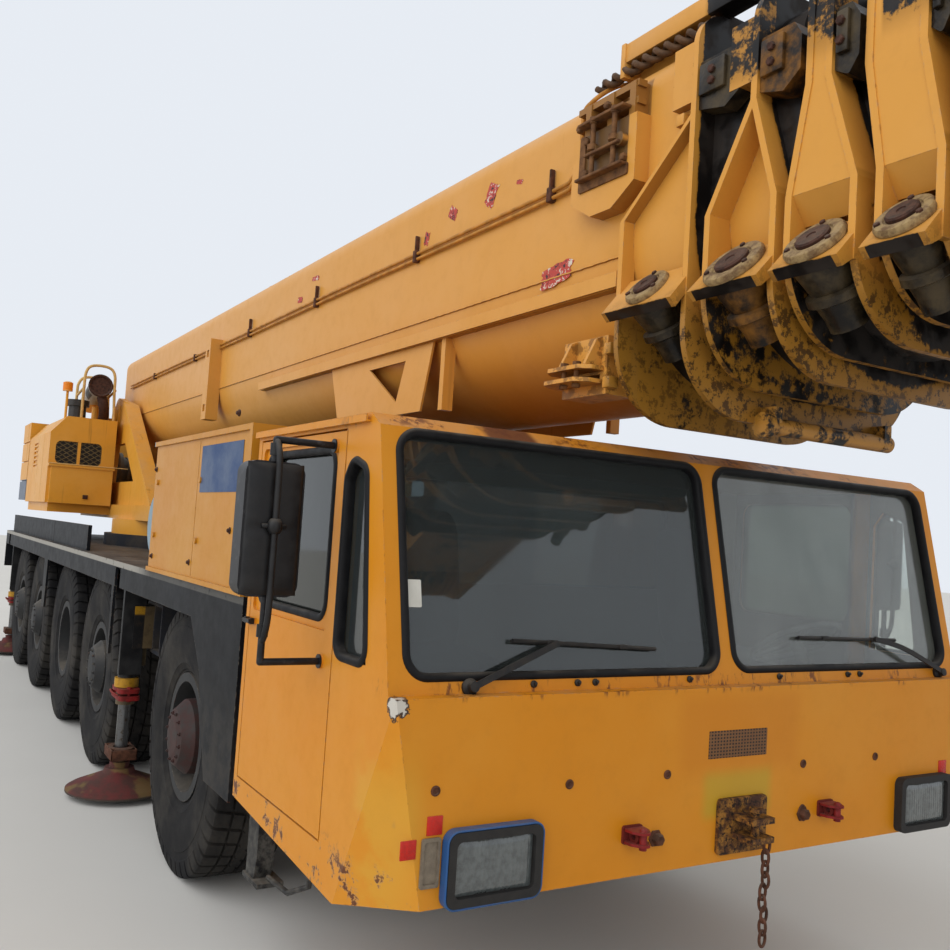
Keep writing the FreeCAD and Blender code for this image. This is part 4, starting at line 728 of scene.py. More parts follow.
def boom_extras(w, place, tone, rough, section):
    """A boom section: grease in and behind its mouth, stains below it, painted shade on faces that look down
    and in the base's latch recess, and worn cap discs.
    """
    rear, front, knee, peak, rear_top, front_top = MOUTHS[section]
    x, y, z = w.split(place)
    back = w.minus(FACE_X, x)
    half = BOOM_HALF - BOOM_STEP * section
    side = w.size(y)
    # Distance from the tube's middle: along Y above its round underside, radial below
    below = w.math("MAXIMUM", w.minus(BOOM_CENTRE_Z, z), 0.0)
    out = w.math("SQRT", w.plus(w.times(side, side), w.times(below, below)))
    share = w.math("DIVIDE", w.minus(out, half), RIM_HALF - half)
    inner = w.math("DIVIDE", w.minus(out, half - BOOM_STEP), RIM_HALF - half + BOOM_STEP)
    forward = w.step(w.facing()[0], 0.45, 0.75)
    mouth = w.within(back, front - 0.004, rear + 0.004, 0.01)
    # The leaning plates' two lines at this height, and what lies outside them
    rise = w.math("DIVIDE", w.minus(z, knee), peak - knee, clamp=True)
    line_rear = w.plus(rear, w.times(rise, rear_top - rear))
    line_front = w.plus(front, w.times(rise, front_top - front))
    behind_rear = w.step(w.minus(back, line_rear), -0.012, 0.004)
    ahead_front = w.step(w.minus(line_front, back), -0.012, 0.004)
    over = w.step(z, peak - 0.01, peak + 0.04)
    outside = w.most(behind_rear, ahead_front, over)
    low = w.step(z, SHELF_Z + 0.012, SHELF_Z - 0.010)
    soot = min(1.0, 0.80 + 0.08 * section)
    pocket = w.all_of(w.within(back, front + 0.024, rear - 0.024, 0.003), low, w.minus(1.0, forward))
    rear_face = w.all_of(w.within(back, rear - 0.032, rear + 0.004, 0.003), low, forward,
                         0.34 + 0.14 * section)
    rim_face = w.all_of(w.within(back, front - 0.008, front + 0.008, 0.003), forward, w.step(z, 3.10, 2.90),
                        w.step(inner, 1.05 + 0.10 * section, 0.10), soot)
    upright = w.all_of(w.within(back, front - 0.008, front + 0.008, 0.003), forward, w.step(z, 2.90, 3.10),
                       0.24 + 0.07 * section)
    skin = w.step(share, 0.45, 0.02)
    gap = w.all_of(outside, skin, w.step(back, rear + 0.20, rear + 0.02)) if section else w.all_of(
        w.step(back, front + 0.07, front + 0.02), w.step(share, 0.9, 0.2), 0.8)
    if section == 4:
        gap = w.times(gap, w.blend(w.step(back, front - 0.14, front - 0.03), 0.42, 1.0))
    blocks = w.all_of(mouth, w.step(z, peak + 0.0, peak + 0.16), 0.58 if section else 0.0)
    region = w.most(pocket, gap, rear_face, rim_face, blocks, upright)
    if section:
        # The sliding part: black just behind the mouth, farther back painted with long streaks of grease
        hidden = w.minus(1.0, w.step(back, rear + 0.10, rear + 0.01))
        streaks = w.noise(w.stretched(place, (0.35, 3.2, 3.2)), 2.4, 4, 0.6)
        thick = w.blend(w.step(back, rear + 1.1, rear + 0.35), w.blend(w.step(streaks, 0.46, 0.60), 0.16,
                0.62), 0.9)
        region = w.most(region, w.times(hidden, thick))
    else:
        bar = w.all_of(w.step(back, front + 0.0, front - 0.010), w.step(z, 2.50, 2.48))
        region = w.most(region, w.times(bar, 0.44))
        # Rusty latch frame with painted shade in its recess, and the clamp box on the side
        frame_bars = w.all_of(w.within(back, 0.045, 0.43), w.step(z, 3.558, 3.566), w.step(z, 3.72, 3.70))
        recess_shade = w.all_of(w.within(back, 0.085, 0.375), w.within(z, 3.350, 3.562), w.step(side, half + 0.06,
                half + 0.066))
        clamp = w.all_of(w.within(back, 0.215, 0.505), w.step(z, 2.755, 2.745),
                         w.step(w.noise(place, 15.0, 5, 0.7), 0.47, 0.56))
        tone = w.over(tone, frame_bars, paint(106, 70, 36), 0.7)
        # Painted shade: the latch box's recess behind the rods is painted dark brown
        tone = w.over(tone, recess_shade, paint(58, 42, 28), 0.85)
        tone = w.over(tone, clamp, paint(108, 72, 36), 0.7)
    # Painted shade: faces that look down are darkened towards deep brown
    down = w.step(w.facing()[2], -0.45, -0.95)
    tone = w.over(tone, down, paint(96, 52, 18), 0.62)
    below_shelf = w.all_of(w.within(back, front - 0.02, rear + 0.06, 0.02), w.step(z, 2.88, 2.66))
    tone = w.over(tone, below_shelf, paint(132, 92, 28), 0.78)
    specks = w.step(w.noise(place, 26.0, 5, 0.75), 0.515, 0.555)
    tone = w.mix(w.all_of(below_shelf, specks, 0.8), tone, paint(44, 30, 24))
    stain = w.times(w.step(region, 0.05, 0.55), 0.62)
    tone = w.mix(stain, tone, paint(146, 100, 26))
    # Cap discs on the shelves: a creamy worn ring with a rust-brown middle
    radius = min(0.065, (rear - front) / 2 - 0.032)
    centre = (behind((rear + front) / 2), RIM_HALF + 0.005, 2.540 + 0.325)
    flat = w.node("ShaderNodeCombineXYZ", X=x, Y=side, Z=z)
    far = w.distance(flat.outputs[0], centre)
    ring = w.all_of(w.step(far, radius + 0.016, radius + 0.010), w.step(w.noise(place, 55.0, 4, 0.7), 0.36,
            0.46))
    middle = w.step(far, 0.62 * radius + 0.010, 0.62 * radius + 0.004)
    worn = w.mix(w.noise(place, 60.0, 4, 0.7), paint(150, 132, 96), paint(112, 84, 52))
    oil = w.group("Grease", Region=region)
    tone = w.mix(oil["Mask"], tone, w.mix(oil["Wetness"], GREASE, paint(38, 32, 28)))
    tone = w.over(tone, ring, worn, 0.85)
    tone = w.over(tone, middle, paint(84, 46, 32), 0.9)
    rough = w.blend(oil["Mask"], rough, w.blend(oil["Wetness"], 0.30, 0.72))
    return tone, rough


def jack_extras(w, place, tone, rough):
    """Slanted yellow and black stripes on the tube, and plain dirty paint on the beam."""
    x, y, z = w.split(place)
    side = w.size(y)
    tube = w.all_of(w.step(side, 1.31, 1.315), w.step(z, 0.802, 0.806))
    slant = w.math("FRACT", w.times(w.plus(z, w.times(x, 2.6)), 2.4))
    stripes = w.mix(w.within(slant, 0.16, 0.84, 0.02), paint(178, 132, 28), paint(24, 24, 26))
    tone = w.mix(tube, tone, stripes)
    ring = w.within(z, 0.738, 0.802, 0.001)
    tone = w.mix(ring, tone, paint(180, 134, 32))
    dirt = w.step(w.noise(place, 18.0, 6, 0.7), 0.46, 0.66)
    return w.over(tone, dirt, paint(60, 48, 36), 0.5), rough


def wheel_extras(w, place, tone, rough):
    """A rusty red hub in the grey disc."""
    x, y, z = w.split(place)
    hub = w.node("ShaderNodeCombineXYZ", X=x, Z=z)
    low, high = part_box("rim_1_right")
    centre = ((low.x + high.x) / 2, 0.0, (low.z + high.z) / 2)
    red = w.step(w.distance(hub.outputs[0], centre), 0.212, 0.206)
    oxide = w.mix(w.step(w.noise(place, 16.0, 5, 0.7), 0.40, 0.65), paint(58, 34, 31), paint(50, 42, 40))
    return w.mix(red, tone, oxide), rough


def jack_rod():
    """A bright rod over a float in red oxide, muddy where it meets the ground."""
    w, shader = new_material("jack_rod")
    place = w.place()
    x, y, z = w.split(place)
    foot = w.step(z, 0.236, 0.232)
    oxide = w.mix(w.step(w.noise(place, 8.0, 6, 0.7), 0.35, 0.65), paint(96, 36, 34), paint(70, 40, 34))
    oxide = w.over(oxide, w.step(w.noise(place, 5.0, 3, 0.5), 0.52, 0.60), paint(112, 92, 50), 0.7)
    oxide = w.over(oxide, w.step(z, 0.060, 0.045), paint(58, 50, 44))
    steel = w.mix(w.step(w.noise(place, 30.0, 5, 0.7), 0.5, 0.7), paint(104, 105, 106), paint(76, 66, 56))
    surface(w, shader, w.mix(foot, steel, oxide), w.blend(foot, 0.28, 0.85), w.noise(place, 90.0, 5, 0.7),
            0.002, 0.4, Metallic=w.blend(foot, 0.9, 0.0))


def worn_rubber():
    """Grey-black rubber with dust lying in clouds."""
    w, shader = new_material("worn_rubber")
    place = w.place()
    mottle = w.noise(place, 7.0, 6, 0.7)
    tone = w.mix(w.step(mottle, 0.35, 0.75), paint(25, 25, 27), paint(42, 41, 41))
    dusty = w.step(w.noise(place, 2.2, 5, 0.65), 0.42, 0.70)
    tone = w.over(tone, dusty, paint(84, 80, 74), 0.40)
    rough = w.plus(0.68, w.times(mottle, 0.25))
    surface(w, shader, tone, rough, w.noise(place, 160.0, 4, 0.6), 0.0012, Specular_IOR_Level=0.12)


def front_iron():
    """The front's castings by their place across: lamp bodies, hooks, rusty hitch and pale sockets."""
    w, shader = new_material("front_iron")
    place = w.place()
    x, y, z = w.split(place)
    mottle = w.noise(place, 24.0, 5, 0.7)
    tone = w.mix(mottle, paint(22, 22, 24), paint(56, 54, 52))
    hitch = w.within(y, -0.30, 0.32, 0.01)
    iron = w.mix(w.step(mottle, 0.36, 0.60), paint(150, 104, 44), paint(70, 44, 30))
    iron = w.over(iron, w.step(w.noise(place, 60.0, 4, 0.7), 0.50, 0.60), paint(34, 24, 20))
    socket = w.step(w.size(y), 1.302, 1.306)
    socket = w.all_of(socket, w.minus(1.0, w.within(y, 0.9, 1.352, 0.001)))
    hooks = w.within(w.size(y), 0.46, 0.58, 0.004)
    tone = w.over(tone, hooks, w.mix(mottle, paint(120, 34, 30), paint(80, 36, 30)))
    tone = w.over(tone, hitch, iron)
    tone = w.over(tone, socket, w.mix(mottle, paint(150, 138, 120), paint(78, 68, 60)))
    rough = w.plus(0.5, w.times(mottle, 0.35))
    surface(w, shader, tone, rough, w.noise(place, 140.0, 4, 0.7), 0.002, Specular_IOR_Level=0.25)


def torn_label():
    """Printed film with its colour scratched away to white and to dirt."""
    w, shader = new_material("torn_label")
    tear = w.noise(w.place(), 34.0, 4, 0.7)
    tone = w.mix(w.step(tear, 0.40, 0.43), paint(40, 28, 30), paint(176, 62, 52))
    tone = w.over(tone, w.step(tear, 0.56, 0.59), paint(206, 198, 184))
    surface(w, shader, tone, w.plus(0.5, w.times(tear, 0.3)), tear, 0.001)


def glass(name, right_tint, left_tint_and_reflection, shine):
    """Tinted glass under a dusty film in long clouds, each side of the crane with its own tint; a near-white
    left tint is painted sky reflection.
    """
    w, shader = new_material(name)
    place = w.place()
    x, y, z = w.split(place)
    film = w.step(w.noise(w.stretched(place, (1, 1, 0.35)), 2.6, 5, 0.6), 0.42, 0.70)
    # Painted reflection: a near-white tint on the left side stands in for sky mirrored in the glass
    tint = w.over(w.mix(w.step(y, -0.04, 0.04), right_tint, left_tint_and_reflection), film, paint(118, 122, 120), 0.25)
    surface(w, shader, tint, w.blend(film, 0.010, 0.06), Transmission_Weight=0.92, IOR=1.60,
            Specular_IOR_Level=shine)


def seat_cloth():
    """Woven cover: two crossed rows of threads."""
    w, shader = new_material("seat_cloth")
    place = w.place()
    x, y, z = w.split(place)
    threads = 1400.0
    warp = w.math("SINE", w.times(w.plus(x, z), threads))
    weft = w.math("SINE", w.times(y, threads))
    worn = w.noise(place, 9.0, 5, 0.6)
    tone = w.mix(worn, paint(52, 54, 58), paint(92, 88, 82))
    surface(w, shader, tone, w.plus(0.75, w.times(worn, 0.2)), w.times(warp, weft), 0.0008)


def vent_plate():
    """Perforated rusty plate: round holes in rows."""
    w, shader = new_material("vent_plate")
    place = w.place()
    x, y, z = w.split(place)
    row_pitch, hole_pitch = 0.0125, 0.016
    rows = w.math("SINE", w.times(z, 2 * math.pi / row_pitch))
    columns = w.math("SINE", w.times(y, 2 * math.pi / hole_pitch))
    holes = w.step(w.times(w.plus(rows, 1.0), w.plus(columns, 1.0)), 1.3, 1.9)
    plate = w.mix(w.noise(place, 30.0, 5, 0.7), paint(132, 92, 50), paint(92, 58, 40))
    surface(w, shader, w.over(plate, holes, paint(20, 16, 14)), 0.8, w.minus(1.0, holes), 0.002, 0.6)


def plain_finishes():
    """Small parts in one paint or metal each."""
    plain("axle_casting", paint(46, 44, 44), paint(92, 80, 66), 6.0, 0.75, speck=0.7, relief=0.003)
    plain("winch_casting", paint(58, 54, 50), paint(104, 84, 60), 9.0, 0.6, speck=0.6, relief=0.002)
    plain("seal_rubber", paint(18, 18, 20), paint(40, 40, 42), 14.0, 0.55, speck=0.4, relief=0.0006,
          shine=0.15)
    plain("black_plastic", paint(24, 24, 26), paint(56, 56, 56), 8.0, 0.45, speck=0.4, relief=0.0006)
    plain("wiper_black", paint(24, 24, 26), paint(60, 54, 48), 30.0, 0.5, speck=0.5)
    plain("trim_grey", paint(84, 86, 86), paint(112, 110, 104), 11.0, 0.7, speck=0.5, relief=0.001)
    plain("polished_rod", paint(188, 190, 192), paint(150, 146, 140), 5.0, 0.18, metal=1.0, speck=0.5,
          relief=0.0002)
    plain("rusty_iron", paint(94, 58, 42), paint(54, 38, 30), 28.0, 0.85, speck=0.8, relief=0.003)
    plain("red_paint", paint(132, 28, 28), paint(84, 26, 26), 26.0, 0.55, speck=0.7)
    plain("blue_paint", paint(40, 82, 138), paint(60, 88, 120), 20.0, 0.5, speck=0.5)
    plain("lamp_black", paint(26, 26, 28), paint(58, 56, 54), 20.0, 0.5, speck=0.5)
    plain("latch_iron", paint(118, 80, 44), paint(66, 44, 32), 26.0, 0.7, speck=0.8, relief=0.002)
    plain("mirror_face", paint(200, 204, 206), paint(170, 172, 172), 3.0, 0.06, metal=1.0, speck=0.4,
          relief=0.0)
    plain("white_label", paint(214, 214, 208), paint(180, 178, 170), 9.0, 0.6, speck=0.5)
    plain("blue_label", paint(70, 88, 118), paint(46, 70, 114), 3.0, 0.5, speck=0.9)
    plain("reflector_red", paint(196, 44, 34), paint(150, 34, 26), 90.0, 0.25, speck=0.5)
    plain("lens_glass", paint(88, 94, 95), paint(54, 58, 60), 40.0, 0.10, speck=0.7, relief=0.0006, coat=0.8,
          shine=0.6)
    plain("pipe_paint", paint(196, 134, 50), paint(120, 84, 44), 12.0, 0.5, speck=0.6)
    plain("grease_black", paint(20, 17, 15), paint(88, 74, 50), 8.0, 0.36, speck=0.62, relief=0.004)
    plain("greasy_paint", paint(22, 18, 15), paint(132, 88, 32), 11.0, 0.5, speck=0.9, relief=0.003)
    plain("worn_cap", paint(158, 134, 92), paint(92, 66, 44), 34.0, 0.6, speck=0.9, relief=0.003)
    plain("cap_rust", paint(74, 44, 32), paint(40, 28, 24), 40.0, 0.7, speck=0.8, relief=0.003)
    plain("beacon_amber", paint(228, 178, 92), paint(206, 120, 40), 30.0, 0.25, speck=0.5, relief=0.0005,
          coat=0.4)
    plain("hose_brown", paint(92, 62, 34), paint(50, 36, 26), 24.0, 0.6, speck=0.8, relief=0.002)
    plain("cream_paint", paint(216, 178, 112), paint(150, 116, 70), 14.0, 0.5, speck=0.5)
    plain("mesh_wire", paint(120, 104, 70), paint(60, 54, 44), 40.0, 0.6, speck=0.6)
    plain("scuffed_black", paint(24, 24, 26), paint(120, 118, 112), 26.0, 0.6, speck=0.45, relief=0.001)


def painted_finishes(colours):
    """Old paint on the large parts, from the panel's colours."""
    orange, boom = tuple(colours.orange), tuple(colours.boom)
    faded_orange, faded_boom = paint(214, 156, 62), paint(212, 158, 92)
    weathered("cab_orange", orange, faded_orange, cab_extras, Fading=0.30, Runs=0.22, Chips=0.34, Edges=0.75)
    weathered("door_orange", orange, faded_orange, door_extras, Fading=0.25, Runs=0.18, Chips=0.30, Edges=0.7)
    weathered("box_orange", paint(188, 126, 24), paint(198, 150, 66), box_extras,
              Fading=0.30, Runs=0.18, Chips=0.34, Edges=0.8)
    upper, faded_upper = paint(214, 150, 44), paint(218, 168, 92)
    weathered("upper_orange", upper, faded_upper, Fading=0.45, Runs=0.5, Chips=0.4, Edges=0.7)
    weathered("hood_orange", upper, faded_upper, hood_extras, Fading=0.5, Runs=0.5, Chips=0.4, Edges=0.7)
    weathered("weight_paint", upper, faded_upper, weight_extras, Fading=0.5, Runs=0.6, Chips=0.5, Edges=0.8)
    weathered("frame_dark", paint(34, 36, 42), paint(52, 54, 60), frame_extras, shine=0.15,
              Fading=0.5, Runs=0.3, Chips=0.3, Edges=0.5, Gloss=0.6)
    weathered("skirt_dark", paint(15, 17, 21), paint(27, 30, 35), skirt_extras, shine=0.12,
              Fading=0.6, Runs=0.5, Chips=0.45, Edges=0.9, Gloss=0.5)
    for section in range(len(MOUTHS)):
        weathered(f"boom_orange_{section}", boom, faded_boom, boom_extras, (section,),
                  Fading=0.45, Runs=0.22, Chips=0.28, Edges=0.55, Dust=0.2, Gloss=0.40)
    weathered("jack_paint", paint(70, 62, 52), paint(110, 92, 60), jack_extras, Chips=0.6, Edges=0.7)
    weathered("wheel_grey", paint(34, 35, 37), paint(58, 58, 57), wheel_extras, grime=paint(34, 26, 22),
              Chips=0.5, Edges=0.6, Gloss=0.62)


def build_materials(colours):
    """Every finish of the crane."""
    painted_finishes(colours)
    plain_finishes()
    for make in (jack_rod, worn_rubber, front_iron, torn_label, seat_cloth, vent_plate):
        make()
    # The windscreens' left tint is near white: painted sky reflection
    glass("screen_glass", paint(140, 150, 152), paint(232, 238, 234), 0.5)
    glass("side_glass", paint(46, 62, 50), paint(46, 62, 50), 0.14)


NODE_FINISHES = {
    "carrier_cab": "cab_orange", "cab_glass": "screen_glass", "side_boxes": "box_orange",
    "chassis_frame": "frame_dark", "deck_skirts": "skirt_dark", "axle_set": "axle_casting",
    "turntable": "upper_orange", "hoist_winch": "winch_casting", "engine_hood": "hood_orange",
    "counterweight": "weight_paint", "crane_cab": "upper_orange", "crane_cab_glass": "screen_glass",
    "crane_cab_door": "upper_orange", "lift_barrel": "upper_orange", "lift_rod": "polished_rod",
    "front_lamps": "front_iron",
}


def finish_of(node):
    """The finish of a CAD node, by its own name or by its kind."""
    if node in NODE_FINISHES:
        return NODE_FINISHES[node]
    kind, _, rest = node.partition("_")
    if kind in ("boom", "tele"):
        return "boom_orange_" + (rest if kind == "tele" else "0")
    return {"door": "door_orange", "knuckle": "axle_casting", "beam": "jack_paint", "jack": "jack_rod",
            "tyre": "worn_rubber", "rim": "wheel_grey", "cab": "trim_grey"}[kind]


# Places on the cab


def on_screen_plane(y, z, out=0.0):
    """A point on the raked front wall, at a distance out from its painted face."""
    steep = math.hypot(1.0, RAKE)
    x = behind(LEDGE_BACK) - RAKE * (z - LEDGE_Z) + out / steep
    return joined(x, y, z + out * RAKE / steep)


SEAL_SECTION = np.array([(-0.001, -0.028), (-0.013, -0.028), (-0.015, -0.012), (-0.013, 0.003),
                         (-0.007, 0.009),
                         (0.005, 0.010), (0.012, 0.006), (0.016, 0.0008), (-0.001, 0.0008)])


def seal_round(loop, place, outward, section=SEAL_SECTION):
    """A rubber seal: its section carried round a window's edge, out of the opening and onto the wall."""
    path = place(loop[:, 0], loop[:, 1])
    centre = path.mean(axis=0)
    points, faces = sweep(path, section, outward, closed=True)
    trial = points.reshape(len(path), -1, 3)[:, 0] - path
    inward = ((trial * (centre - path)).sum(axis=1)).mean() > 0
    if not inward:
        points, faces = sweep(path[::-1], section, outward, closed=True)
    return points, faces


class CRANE_OT_finishes(bpy.types.Operator):
    """Builds the materials and gives every node of the frame its finish."""
    bl_idname = "crane.finishes"
    bl_label = "Paint and finishes"

    def execute(self, context):
        build_groups()
        build_materials(context.scene.crane_colours)
        for name, node in NODES.items():
            node.data.materials.clear()
            node.data.materials.append(bpy.data.materials[finish_of(name)])
        return {"FINISHED"}


class CRANE_OT_tyres(bpy.types.Operator):
    """Ten tyres: the profile turned about the axle, its shoulder cut by slanted grooves into blocks."""
    bl_idname = "crane.tyres"
    bl_label = "Tyres with tread"

    def execute(self, context):
        sizes = context.scene.crane_sizes
        depth, blocks = sizes.tread_depth, sizes.tread_blocks
        # Half of the profile, from the bead to the middle of the tread: radius, offset, and how much of the
        # groove's depth each line takes all round (first share) and inside the cross grooves (second share)
        wall = [(0.3183, 0.1717, 0, 0), (0.348, 0.172, 0, 0), (0.352, 0.178, 0, 0), (0.360, 0.179, 0, 0),
                (0.366, 0.187, 0, 0), (0.395, 0.198, 0, 0), (0.399, 0.202, 0, 0), (0.407, 0.2025, 0, 0),
                (0.412, 0.2015, 0, 0), (0.448, 0.2085, 0, 0), (0.500, 0.2135, 0, 0), (0.548, 0.2150, 0, 0),
                (0.600, 0.2142, 0, 0), (0.604, 0.2115, 0, 0), (0.640, 0.2095, 0, 0), (0.646, 0.2125, 0, 0),
                (0.664, 0.2110, 0, 0.35), (0.690, 0.2075, 0, 0.8), (0.714, 0.2020, 0, 1), (0.7290, 0.1930, 0,
                1),
                (0.7340, 0.1780, 0, 1), (0.735, 0.1500, 0, 1), (0.735, 0.1140, 0, 1), (0.735, 0.1110, 1, 1),
                (0.735, 0.1010, 1, 1), (0.735, 0.0980, 0, 1), (0.735, 0.0700, 0, 0.8), (0.735, 0.0450, 0, 1),
                (0.735, 0.0420, 1, 1), (0.735, 0.0330, 1, 1), (0.735, 0.0300, 0, 0.6), (0.735, 0.0120, 0, 0)]
        rows = np.array(wall)
        rows = np.concatenate([rows * np.array([1, -1, 1, 1]), rows[::-1]])
        radius, offset, ring, cross = (rows[:, index][:, None] for index in range(4))
        # Seven lines to a block: two at each edge of the groove and three over the block's top
        phases = np.array([-0.105, -0.080, 0.080, 0.105, 0.30, 0.50, 0.70])
        low = np.array([0.0, 1.0, 1.0, 0.0, 0.0, 0.0, 0.0])
        phase = (np.arange(blocks)[:, None] + phases[None]).ravel()[None]
        inside = np.tile(low, blocks)[None]
        slant = np.clip(offset / 0.03, -1, 1) * 0.25 + offset * 2.0
        angle = (phase + slant * (radius > 0.60)) * 2 * math.pi / blocks
        drop = depth * np.maximum(ring, cross * inside)
        # Down the tread the drop runs along the radius, and round the shoulder it turns into the side wall
        turn = np.clip((0.735 - radius) / 0.05, 0, 1) * math.pi / 2
        turned = radius - drop * np.cos(turn)
        shifted = offset - np.sign(offset) * drop * np.sin(turn)
        for axle in AXLES:
            for side, sign in SIDES.items():
                corner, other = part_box(f"tyre_{axle}_{side}")
                middle = (corner + other) / 2
                spin = angle + 0.37 * int(axle) + (0.2 if sign < 0 else 0.0)
                points = joined(middle.x + turned * np.cos(spin), middle.y + sign * shifted,
                                   middle.z + turned * np.sin(spin))
                shape = Shape().add(points, grid_faces(len(rows), blocks * 7, True, True))
                piece = shape.build(f"tread_{axle}_{side}", "worn_rubber", f"wheel_{axle}_{side}",
                                    "tyre_rubber", 28)
                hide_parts(f"tyre_{axle}_{side}")
        return {"FINISHED"}


class CRANE_OT_wheel_nuts(bpy.types.Operator):
    """Ten six-sided nuts round each disc and a ring of bolts on the hub's cap."""
    bl_idname = "crane.wheel_nuts"
    bl_label = "Wheel nuts"

    def execute(self, context):
        for axle in AXLES:
            for side, sign in SIDES.items():
                low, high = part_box(f"tyre_{axle}_{side}")
                middle = (low + high) / 2
                hub = 0.215 + 0.025 if axle != "3" else 0.215 - 0.120
                shape = Shape()
                for count, ring, offset, radius, height, corners in (
                        (10, 0.243, 0.046, 0.020, 0.026, 6), (12, 0.128, hub, 0.010, 0.012, 6)):
                    for u, v in circle(count, ring, 0.3):
                        at = (middle.x + u, middle.y + sign * offset, middle.z + v)
                        profile = [(radius, 0.0), (radius, height * 0.8), (radius * 0.8, height),
                                   (radius * 0.45, height), (radius * 0.45, height * 1.5),
                                   (0.001, height * 1.5)]
                        shape.add(*lathe(profile, at, (0, sign, 0), corners))
                shape.build(f"nuts_{axle}_{side}", "wheel_grey", f"wheel_{axle}_{side}", "wheel_paint", 30)
        return {"FINISHED"}


class CRANE_OT_window_seals(bpy.types.Operator):
    """Rubber seals: a rounded section carried round the edge of each window."""
    bl_idname = "crane.window_seals"
    bl_label = "Window seals"

    def execute(self, context):
        shape = Shape()
        normal = np.array([1.0, 0.0, RAKE]) / math.hypot(1.0, RAKE)
        for sign in SIDES.values():
            loop = box_loop(SCREEN["inner_y"], SCREEN["outer_y"], SCREEN["bottom"], SCREEN["top"],
                            SCREEN["corner"], 10)
            loop = loop * np.array([sign, 1])
            shape.add(*seal_round(loop, on_screen_plane, normal))
            quarter = rounded_loop(QUARTER_WINDOW, 0.055, 8)
            shape.add(*seal_round(quarter, side_plane(sign * HALF_WIDTH), (0, sign, 0)))
        rear_wall = cross_plane(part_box("carrier_cab")[0].x)
        loop = box_loop(-0.9, 0.9, 1.7, 2.2, 0.06, 8)
        shape.add(*seal_round(loop, rear_wall, (-1, 0, 0), SEAL_SECTION * 0.9))
        shape.build("cab_seals", "seal_rubber", "carrier", None, 50)
        for side, sign in SIDES.items():
            door = Shape()
            loop = box_loop(DOOR_WINDOW["front"], DOOR_WINDOW["rear"], DOOR_WINDOW["bottom"],
                            DOOR_WINDOW["top"],
                            DOOR_WINDOW["corner"], 8)
            skin = side_plane(sign * (HALF_WIDTH - DOOR_RECESS))
            door.add(*seal_round(loop, skin, (0, sign, 0), SEAL_SECTION * np.array([1.0, 0.8])))
            door.build(f"door_seal_{side}", "seal_rubber", f"door_{side}", None, 50)
        return {"FINISHED"}


class CRANE_OT_door_glass(bpy.types.Operator):
    """The pane in each door, a thin slab inside the seal."""
    bl_idname = "crane.door_glass"
    bl_label = "Door glass"

    def execute(self, context):
        window, thick = DOOR_WINDOW, 0.005
        for side, sign in SIDES.items():
            loop = box_loop(window["front"] - 0.002, window["rear"] + 0.002, window["bottom"] - 0.002,
                            window["top"] + 0.002, window["corner"], 8)
            pane = Shape().add(*slab(loop, thick, side_plane(sign * (HALF_WIDTH - 0.042), -sign)))
            pane.build(f"door_pane_{side}", "side_glass", f"door_{side}", "pane", 30)
        pane_y, skin_y = 1.452, 1.478
        loop = box_loop(6.272, 6.848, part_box("crane_cab_door")[0].z + 0.70, 3.328, 0.05, 8)
        pane = Shape().add(*slab(loop, thick, side_plane(pane_y)))
        pane.build("slider_pane", "side_glass", "crane_cab_door", "pane", 30)
        seal = Shape().add(*seal_round(loop, side_plane(skin_y), (0, 1, 0), SEAL_SECTION * 0.8))
        seal.build("slider_seal", "seal_rubber", "crane_cab_door", None, 50)
        return {"FINISHED"}


class CRANE_OT_wipers(bpy.types.Operator):
    """Two wipers: a spindle, a bent arm and a blade that lies on the windscreen."""
    bl_idname = "crane.wipers"
    bl_label = "Windscreen wipers"

    def execute(self, context):
        shape = Shape()
        # Pivot, elbow, the arm's tip and the blade's two ends, as (Y, Z)
        wipers = (
            ((-1.20, 1.440), (-1.04, 1.500), (-0.83, 1.580), (-1.01, 1.590), (-0.36, 1.558)),
            ((1.36, 1.440), (1.12, 1.545), (0.93, 1.592), (0.45, 1.600), (1.10, 1.588)),
        )
        for pivot, elbow, tip, blade_start, blade_end in wipers:
            arm = smooth_line([pivot, elbow, tip], 6)
            lift = 0.034 - 0.022 * np.linspace(0, 1, len(arm))
            path = on_screen_plane(arm[:, 0], arm[:, 1], lift)
            width = np.array([(-0.011, -0.004), (0.011, -0.004), (0.011, 0.004), (-0.011, 0.004)])
            shape.add(*sweep(path, width, (1.0, 0.0, RAKE)))
            ends = np.linspace(blade_start, blade_end, 12)
            for out, radius in ((-0.021, 0.005), (-0.010, 0.008)):
                shape.add(*pipe(on_screen_plane(ends[:, 0], ends[:, 1], out), radius, (1.0, 0.0, RAKE), 8))
            for share in (0.25, 0.75):
                spot = np.array(blade_start) * (1 - share) + np.array(blade_end) * share
                at = on_screen_plane(spot[:1], spot[1:], -0.002)[0]
                shape.add(*brick(at - np.array([0.012, 0.02, 0.008]), at + np.array([0.006, 0.02, 0.008])))
            foot = on_screen_plane(np.array(pivot[:1]), np.array(pivot[1:]), -0.002)[0]
            shape.add(*lathe([(0.03, 0.0), (0.03, 0.012), (0.018, 0.02), (0.018, 0.042), (0.001, 0.044)],
                             foot,
                             (1.0, 0.0, RAKE), 16))
            # Washer nozzles below the glass
        for y in (-0.94, -0.75, -0.67, -0.21, 0.29, 0.72, 0.80):
            at = on_screen_plane(np.array([y]), np.array([1.444]), 0.0)[0]
            shape.add(*lathe([(0.013, -0.002), (0.013, 0.006), (0.007, 0.010), (0.006, 0.018),
                              (0.001, 0.019)], at,
                             (1.0, 0.0, 0.3), 10))
        shape.build("wipers", "wiper_black", "carrier")
        return {"FINISHED"}


